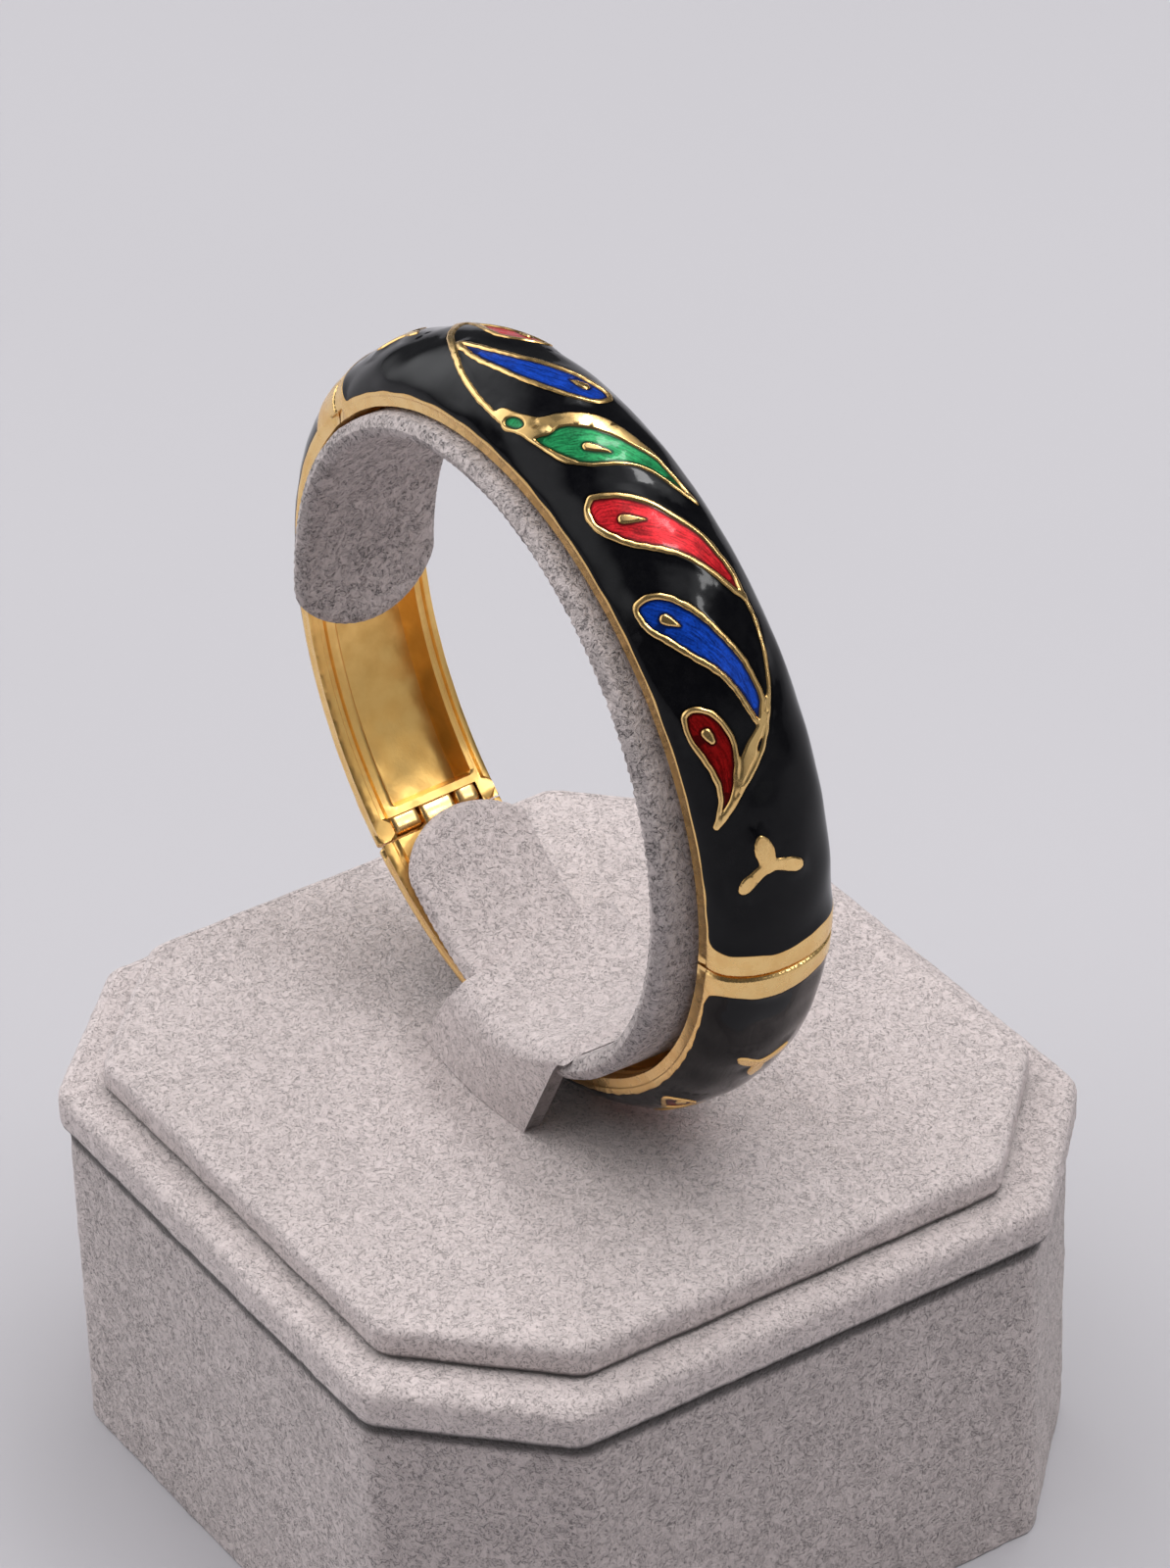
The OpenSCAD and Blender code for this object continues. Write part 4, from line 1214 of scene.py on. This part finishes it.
class BANGLE_OT_front_panel(PanelPiece, bpy.types.Operator):
    """Build the long panel over the top, with its leaves and the clasp tongue"""

    bl_idname = "bangle.front_panel"
    bl_label = "Front Panel"
    key = "front"

    def hinge(self, dome, skin):
        knuckle(1.9, 1.35, -1.3, 1.9, FRONT_HINGE, 1, dome, skin)
        tongue = [(-2.8, 0.9), (-2.7, 0.9), (-2.25, 0.9), (-2.2, 0.8), (-2.2, -2.2), (-2.35, -2.4),
                  (-2.65, -2.4), (-2.8, -2.2)]
        prism(tongue, -1.8, 1.8, 0.12, -9.3, 1, dome, skin)


class BANGLE_OT_lower_panel(PanelPiece, bpy.types.Operator):
    """Build the panel that runs under the strap, from the back hinge to the clasp"""

    bl_idname = "bangle.lower_panel"
    bl_label = "Lower Panel"
    key = "lower"

    def hinge(self, dome, skin):
        knuckle(1.9, 1.35, -1.3, 1.9, BACK_HINGE, -1, dome, skin)


class BANGLE_OT_back_panel(PanelPiece, bpy.types.Operator):
    """Build the short panel between the two hinges, with its outer barrels"""

    bl_idname = "bangle.back_panel"
    bl_label = "Back Panel"
    key = "back"

    def hinge(self, dome, skin):
        for angle, way in ((FRONT_HINGE, -1), (BACK_HINGE, 1)):
            for y0, y1 in ((-4.28, -1.6), (2.3, 4.28)):
                knuckle(1.6, 0.6, y0, y1, angle, way, dome, skin)


class BANGLE_OT_hinge_pins(Piece, bpy.types.Operator):
    """Give the two hinge pins their metal"""

    bl_idname = "bangle.hinge_pins"
    bl_label = "Hinge Pins"

    def execute(self, context):
        for name in ("front_hinge_pin", "back_hinge_pin"):
            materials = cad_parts[name].data.materials
            materials.clear()
            materials.append(finish("pin metal"))
        return {"FINISHED"}


# The holder: its middle radius, the bend to its lower arm, and where the strap hides the join. Its
# ends are an angle, the radius of the round end and that circle's place across.
HOLDER_MIDDLE = 27.4
HOLDER_BEND, BEND_TURN, BEND_LENGTH = -62.0, 5.2, 14.0
JOIN = -78.0
UPPER_END, LOWER_END = (173.8, 7.2, -0.2), (-119.1, 7.0, 0.6)
UPPER_HALF, LOWER_HALF = 6.65, 6.05
HOLDER_SCALE = math.pi * HOLDER_MIDDLE / 180


def past_bend(angle):
    """0 on the holder's upper arm and 1 on its lower arm, with a soft change under the strap."""
    return step_between(np.asarray(angle), HOLDER_BEND + 2, HOLDER_BEND + 2 - BEND_LENGTH)


def strip_outline():
    """Unrolled outline of the holder, with a round end at each side of its opening."""
    angles = np.arange(LOWER_END[0] + 6, UPPER_END[0] - 4, 1.5)
    halves = UPPER_HALF + (LOWER_HALF - UPPER_HALF) * past_bend(angles)

    def side(way):
        return list(zip(angles * HOLDER_SCALE, way * halves))

    def end(place, half, way):
        angle, r, across = place
        low, high = math.asin((-half - across) / r), math.asin((half - across) / r)
        return [(angle * HOLDER_SCALE + way * r * math.cos(k), across + r * math.sin(k))
                for k in np.linspace(low, high, 21)]

    loop = side(-1) + end(UPPER_END, UPPER_HALF, 1) + side(1)[::-1]
    return even_loop(np.array(loop + end(LOWER_END, LOWER_HALF, -1)[::-1]), 0.8)


class BANGLE_OT_holder(Piece, bpy.types.Operator):
    """Build the covered C-shaped strip inside the bangle"""

    bl_idname = "bangle.holder"
    bl_label = "Holder"

    def place(self, u, v, h):
        """Point of the strip, whose lower arm is turned about the line from bend to middle."""
        lower = past_bend(u / HOLDER_SCALE)
        angle, r = np.radians(u / HOLDER_SCALE - HOLDER_BEND), HOLDER_MIDDLE - 0.2 * lower + h
        turn = np.radians(BEND_TURN * lower)
        along, up = r * np.cos(angle), r * np.sin(angle)
        up, v = up * np.cos(turn) + v * np.sin(turn), v * np.cos(turn) - up * np.sin(turn)
        return holder_point(np.degrees(np.arctan2(up, along)) + HOLDER_BEND, np.hypot(along, up), v)

    def execute(self, context):
        skin = Skin()
        verts = soft_strip(skin, strip_outline(), self.place,
                           context.scene.bangle_sizes.holder_thickness / MM - 0.05)
        # painted light: beyond the join the lower arm takes the paler top suede, a lightening that
        # stands in for light it does not get
        skin.slots = [int(verts[f[0] % len(verts), 0] / HOLDER_SCALE < JOIN) for f in skin.faces]
        dress(skin.shown("holder_strip", ["suede holder", "suede top"], 80), "stand",
              "holder_ring")
        return {"FINISHED"}


# The strap: its radius, the angles of its left edge in front, how much further that is at the back,
# and of its right edge, and half of its length over the holder in front and at the back
STRAP_R = 25.7
STRAP_LEFT, STRAP_BACK, STRAP_RIGHT = -97.3, 5.7, -57.4
STRAP_BENDS = (1.5, 0.9)


def strap_section(c, thick):
    """Outer face, middle and inner face of the strap along one line, from its front foot."""
    bends, sides = STRAP_BENDS, (-6.65 - 0.7 * math.sin(math.pi * c), 10.0)
    goal = np.array([-8.35 + c * 15.9, PLATE_TOP + 0.1 - RING_Z])

    def heading(left):
        a = np.radians(left + c * (STRAP_RIGHT - left))
        return np.stack([np.cos(a), np.sin(a)], axis=-1)

    runs, drops, lengths = [], [], []
    for side, edge, bend, back in zip((-1, 1), sides, bends, (0, STRAP_BACK)):
        drop = goal - STRAP_R * heading(STRAP_LEFT - back)
        lengths.append(float(np.linalg.norm(drop)))
        drops.append(unit_rows(drop))
        runs.append([(edge, q) for q in np.linspace(lengths[-1], bend + 0.2, 11)]
                    + [(edge - side * bend * (1 - math.sin(k)), bend * (1 - math.cos(k)))
                       for k in np.radians((75, 60, 45, 30, 15))])
    middle = [(y, 0.0) for y in np.linspace(sides[0] + bends[0], sides[1] - bends[1], 16)]
    flat = np.array(runs[0] + middle + runs[1][::-1])
    way = unit_rows(np.gradient(flat, axis=0))
    normal = np.stack([-way[:, 1], way[:, 0]], axis=1)
    rise = unit(flat[:, 1] / 2.0)
    thin = (1 - rise) * (1 - step_between(np.full(len(flat), 1 - c), 0.0, 0.12))
    out = heading(STRAP_LEFT - STRAP_BACK * step_between(flat[:, 0], sides[0] + 1, 4.0))
    front = flat[:, 0] < 0
    drop = np.where(front[:, None], *drops)
    corner = 0.6 * max(0.0, 1 - c / 0.12) ** 2
    flare = corner * unit(1 - (np.where(front, *lengths) - flat[:, 1]) / 2.0) ** 2
    faces = []
    for sign in (1, 0, -1):
        half = sign * (thick / 2 - 0.02) * (1 - 0.88 * thin)
        half = half + (sign + 1) * 0.3 * rise * float(step_between(np.float64(c), 0.8, 1.0))
        moved = flat + normal * half[:, None]
        blend = unit(moved[:, 1] / 1.6)[:, None]
        where = ((STRAP_R + 0.68 * thin)[:, None] * out
                 + unit_rows((1 - blend) * out + blend * drop) * moved[:, 1:2])
        faces.append(np.column_stack([where[:, 0] - flare, moved[:, 0], where[:, 1]]))
    return faces


class BANGLE_OT_strap(Piece, bpy.types.Operator):
    """Build the strap over the bottom of the holder"""

    bl_idname = "bangle.strap"
    bl_label = "Strap"

    def execute(self, context):
        thick, columns = context.scene.bangle_sizes.strap_thickness / MM, 33
        sections = [strap_section(c, thick) for c in np.linspace(0, 1, columns)]
        top, core, low = (np.array(grid) for grid in zip(*sections))
        rows, skin = top.shape[1], Skin()
        last = (columns - 1) * rows

        def place(grid):
            x, y, z = grid.reshape(-1, 3).T
            return holder_point(np.degrees(np.arctan2(z, x)), np.hypot(x, z), y)

        quads = [[k + i, k + rows + i, k + rows + i + 1, k + i + 1]
                 for k in range(0, last, rows) for i in range(rows - 1)]
        a = skin.add(place(top), quads)
        b = skin.add(place(low), quads, flip=True)
        rim = [*range(rows), *range(2 * rows - 1, last + rows, rows),
               *range(last + rows - 2, last - 1, -1), *range(last - rows, 0, -rows)]
        # the cut edge shows two layers, with a groove between them
        core[0] += 0.3 * unit_rows(core[1] - core[0])
        core[-1] += 0.3 * unit_rows(core[-2] - core[-1])
        groove = skin.add(place(core)[rim], [])
        for t, u in around(len(rim)):
            i, k, p, q = rim[t], rim[u], groove + t, groove + u
            cut = min(i, k) >= last and min(i % rows, rows - 1 - i % rows) < 14
            skin.join([[a + i, a + k, q, p], [p, q, b + k, b + i]], int(cut))
        dress(skin.shown("strap", ["suede top", "suede cut edge"], 60), "stand",
              "holder_strap")
        return {"FINISHED"}


def octagon(x, y, c, bend, spacing):
    """Octagon with cut corners and softly rounded edges, with even steps."""
    points = np.array([(x, -y + c), (x, y - c), (x - c, y), (-x + c, y), (-x, y - c), (-x, -y + c),
                       (-x + c, -y), (x - c, -y)])
    loop = []
    for before, p, after in zip(np.roll(points, 1, axis=0), points, np.roll(points, -1, axis=0)):
        start, end = p + bend * unit_rows(before - p), p + bend * unit_rows(after - p)
        loop += [(1 - t) ** 2 * start + 2 * t * (1 - t) * p + t * t * end
                 for t in np.linspace(0, 1, 6)]
    return even_loop(np.array(loop), spacing)


class BANGLE_OT_stand(Piece, bpy.types.Operator):
    """Build the suede stand: top plate, ledge and body"""

    bl_idname = "bangle.stand"
    bl_label = "Stand"

    def block(self, name, half, corner, low, high, soft, material, slot, node, seed):
        """Octagonal block with soft edges and a slightly uneven cover."""
        spacing, skin = 0.7, Skin()
        outline = octagon(*half, corner, 1.1, spacing)
        n = len(outline)
        way = unit_rows(np.roll(outline, -1, axis=0) - np.roll(outline, 1, axis=0))
        out = np.stack([way[:, 1], -way[:, 0]], axis=1)
        turn = np.radians(np.linspace(0, 90, 6))
        tall = np.linspace(low + soft[0], high - soft[1],
                           max(3, int((high - low - sum(soft)) / 0.9) + 1))
        tall = np.append(tall[tall < high - 2.0], np.arange(high - 1.9, high - soft[1], 0.3))
        (foot, head), rounds = soft, [(1 - math.sin(k), 1 - math.cos(k)) for k in turn]
        profile = [(-foot * a, low + foot * b) for a, b in rounds]
        profile += [(0.0, h) for h in tall[1:]]
        profile += [(-head * b, high - head * a) for a, b in rounds]
        rings, run = [], np.arange(n) * spacing
        for inset, h in profile:
            h = np.full(n, h)
            uneven = 0.05 * ripple(run, h, 7.0, seed) - 0.08 + 0.035 * ripple(run, h, 1.9, seed + 5)
            rings.append(np.column_stack([outline + out * (inset + uneven)[:, None], h]))
        last = (len(rings) - 1) * n
        quads = [[k + i, k + j, k + n + j, k + n + i]
                 for k in range(0, last, n) for i, j in around(n)]
        # painted shade: the colour darkens low on the plate and the ledge, and on the body just
        # under the ledge, where the slabs meet
        painted_shade = [1 - step_between(h - low, 0.34, 0.85) if low > 1
                  else 0.85 * step_between(high - h, 1.5, 0.75) for _, h in profile]
        skin.add(np.vstack(rings), quads, gap=np.repeat(painted_shade, n))
        for ring, under, pitch in ((rings[-1], False, 0.8), (rings[0], True, 8.0)):
            flat = ring[:, :2]
            sieve = Sieve(0.5, [flat])
            sieve.add_lattice(flat.min(axis=0), flat.max(axis=0), pitch, pitch * 0.6)
            verts, faces, _ = filled(flat, sieve.kept(lambda x, y: outline_field(x, y, flat), 0.3))
            deep = outline_field(*verts.T, flat)
            rise = 0.05 * ripple(*verts.T, 9.0, seed + 1) * unit(deep / 2)
            rise += 0.03 * ripple(*verts.T, 1.9, seed + 2) * unit(deep) - 0.02
            h = ring[0, 2] + (0 if under else np.minimum(rise, 0.0)) + 0 * deep
            skin.add(np.column_stack([verts, h]), faces, flip=under)
        block = skin.shown(name, [material], 70)
        # the top and the bottom share the points of the side
        bm = bmesh.new()
        bm.from_mesh(block.data)
        bmesh.ops.remove_doubles(bm, verts=bm.verts, dist=1e-6)
        bm.to_mesh(block.data)
        bm.free()
        dress(block, "stand", node)

    def execute(self, context):
        soft = context.scene.bangle_sizes.edge_radius / MM
        self.block("stand_cover", (33.75, 32.5), 11.9, 35.45, PLATE_TOP, (0.8, soft), "suede top",
                   "suede_top", "stand_plate", 61)
        self.block("stand_rim", (37.0, 35.75), 12.6, 31.4, 35.4, (0.8, 1.3 * soft), "suede top",
                   "suede_sides", "stand_ledge", 62)
        self.block("stand_box", (36.4, 35.15), 12.6, 0.0, 31.35, (0.3, 0.5), "suede side",
                   "suede_sides", "stand_body", 63)
        return {"FINISHED"}


def area_light(scene, name, shape, size, power, at, turn, unseen):
    """Adds an area light that one kind of face, matte or glossy, doesn't show."""
    data = bpy.data.lights.new(name, "AREA")
    data.shape, data.size, data.size_y, data.energy = shape, *size, power
    lamp = bpy.data.objects.new(name, data)
    lamp.location, lamp.rotation_euler = at, turn.to_euler()
    setattr(lamp, unseen, False)
    scene.collection.objects.link(lamp)


class BANGLE_OT_stage(Piece, bpy.types.Operator):
    """Build the floor, the lights and the camera"""

    bl_idname = "bangle.stage"
    bl_label = "Stage"

    def floor(self, scene, tone):
        half = 4.0
        mesh = bpy.data.meshes.new("floor")
        mesh.from_pydata([(-half, -half, 0), (half, -half, 0), (half, half, 0), (-half, half, 0)],
                         [], [(0, 1, 2, 3)])
        floor = bpy.data.objects.new("floor", mesh)
        scene.collection.objects.link(floor)
        m = bpy.data.materials.new("floor")
        m.use_nodes = True
        n = Nodes(m.node_tree)
        cloud = n.noise(n.add("ShaderNodeTexCoord").outputs["Object"], 9.0)
        colour = n.mix(n.span(cloud, 0.3, 0.7), (*tone, 1), (*[v * 0.985 for v in tone], 1))
        n.feed(m.node_tree.nodes["Principled BSDF"], {"Base Color": colour, "Roughness": 0.7})
        mesh.materials.append(m)

    def lights(self, scene, stage):
        world = bpy.data.worlds.new("room")
        scene.world = world
        world.use_nodes = True
        n = Nodes(world.node_tree)
        way = n.add("ShaderNodeTexCoord").outputs["Generated"]
        total = stage.air
        for toward, inner, outer, strength in LOBES:
            near = n.add("ShaderNodeVectorMath", {0: way, 1: Vector(toward).normalized()},
                         operation="DOT_PRODUCT").outputs["Value"]
            lobe = n.span(near, math.cos(math.radians(outer)), math.cos(math.radians(inner)))
            total = n.math("MULTIPLY_ADD", lobe, strength * stage.lamps, total)
        n.feed(world.node_tree.nodes["Background"],
               {"Color": (0.97, 0.98, 1.0, 1), "Strength": total})
        for name, at, size, share in AREAS:
            turn = (Vector((0, 0, 0.05)) - Vector(at)).to_track_quat("-Z", "Y")
            area_light(scene, name, "RECTANGLE", size, stage.key * share, at, turn,
                       "visible_glossy")
        for i, (way, radius, bright) in enumerate(GLINTS):
            size = 2 * GLINT_FAR * math.tan(math.radians(radius))
            area_light(scene, f"glint {i + 1}", "DISK", (size, size),
                       bright * stage.lamps * (math.pi * size / 2) ** 2,
                       Vector(way).normalized() * GLINT_FAR + Vector((0, 0, GLINT_Z)),
                       Vector(way).to_track_quat("Z", "Y"), "visible_diffuse")

    def execute(self, context):
        scene, stage = context.scene, context.scene.bangle_stage
        self.floor(scene, tuple(stage.floor))
        self.lights(scene, stage)
        camera = bpy.data.objects.new("camera", bpy.data.cameras.new("camera"))
        data = camera.data
        data.lens, data.sensor_width, data.sensor_fit = CAMERA_LENS, 36.0, "AUTO"
        data.clip_start, data.clip_end = 0.01, 20
        right, look = Vector(CAMERA_RIGHT).normalized(), Vector(CAMERA_LOOK).normalized()
        up = right.cross(look).normalized()
        turn = Matrix((right, up, -look)).transposed().to_4x4()
        camera.matrix_world = Matrix.Translation(CAMERA_AT) @ turn
        scene.collection.objects.link(camera)
        scene.camera = camera
        scene.view_settings.view_transform = "Standard"
        return {"FINISHED"}


class BANGLE_PT_sidebar(bpy.types.Panel):
    """Sidebar of the bangle's sizes, colours and pieces"""

    bl_label = "Enamel Bangle"
    bl_idname = "BANGLE_PT_sidebar"
    bl_space_type = "VIEW_3D"
    bl_region_type = "UI"
    bl_category = "Bangle"

    def draw(self, context):
        for name in GROUPS:
            box, group = self.layout.box(), getattr(context.scene, name)
            for key in group.__annotations__:
                box.prop(group, key)
        for operator in PIECES:
            self.layout.operator(operator.bl_idname)


PIECES = (BANGLE_OT_stage, BANGLE_OT_stand, BANGLE_OT_strap, BANGLE_OT_holder,
          BANGLE_OT_front_panel, BANGLE_OT_lower_panel, BANGLE_OT_back_panel, BANGLE_OT_hinge_pins)
GROUPS = {"bangle_sizes": BangleSizes, "bangle_colours": BangleColours, "bangle_stage": BangleStage}
CLASSES = (*GROUPS.values(), *PIECES, BANGLE_PT_sidebar)


def register():
    for item in CLASSES:
        bpy.utils.register_class(item)
    for name, group in GROUPS.items():
        setattr(bpy.types.Scene, name, PointerProperty(type=group))


def unregister():
    for name in GROUPS:
        delattr(bpy.types.Scene, name)
    for item in reversed(CLASSES):
        bpy.utils.unregister_class(item)


def main():
    register()
    for operator in PIECES:
        getattr(bpy.ops.bangle, operator.bl_idname.split(".")[1])()


if __name__ == "__main__":
    main()
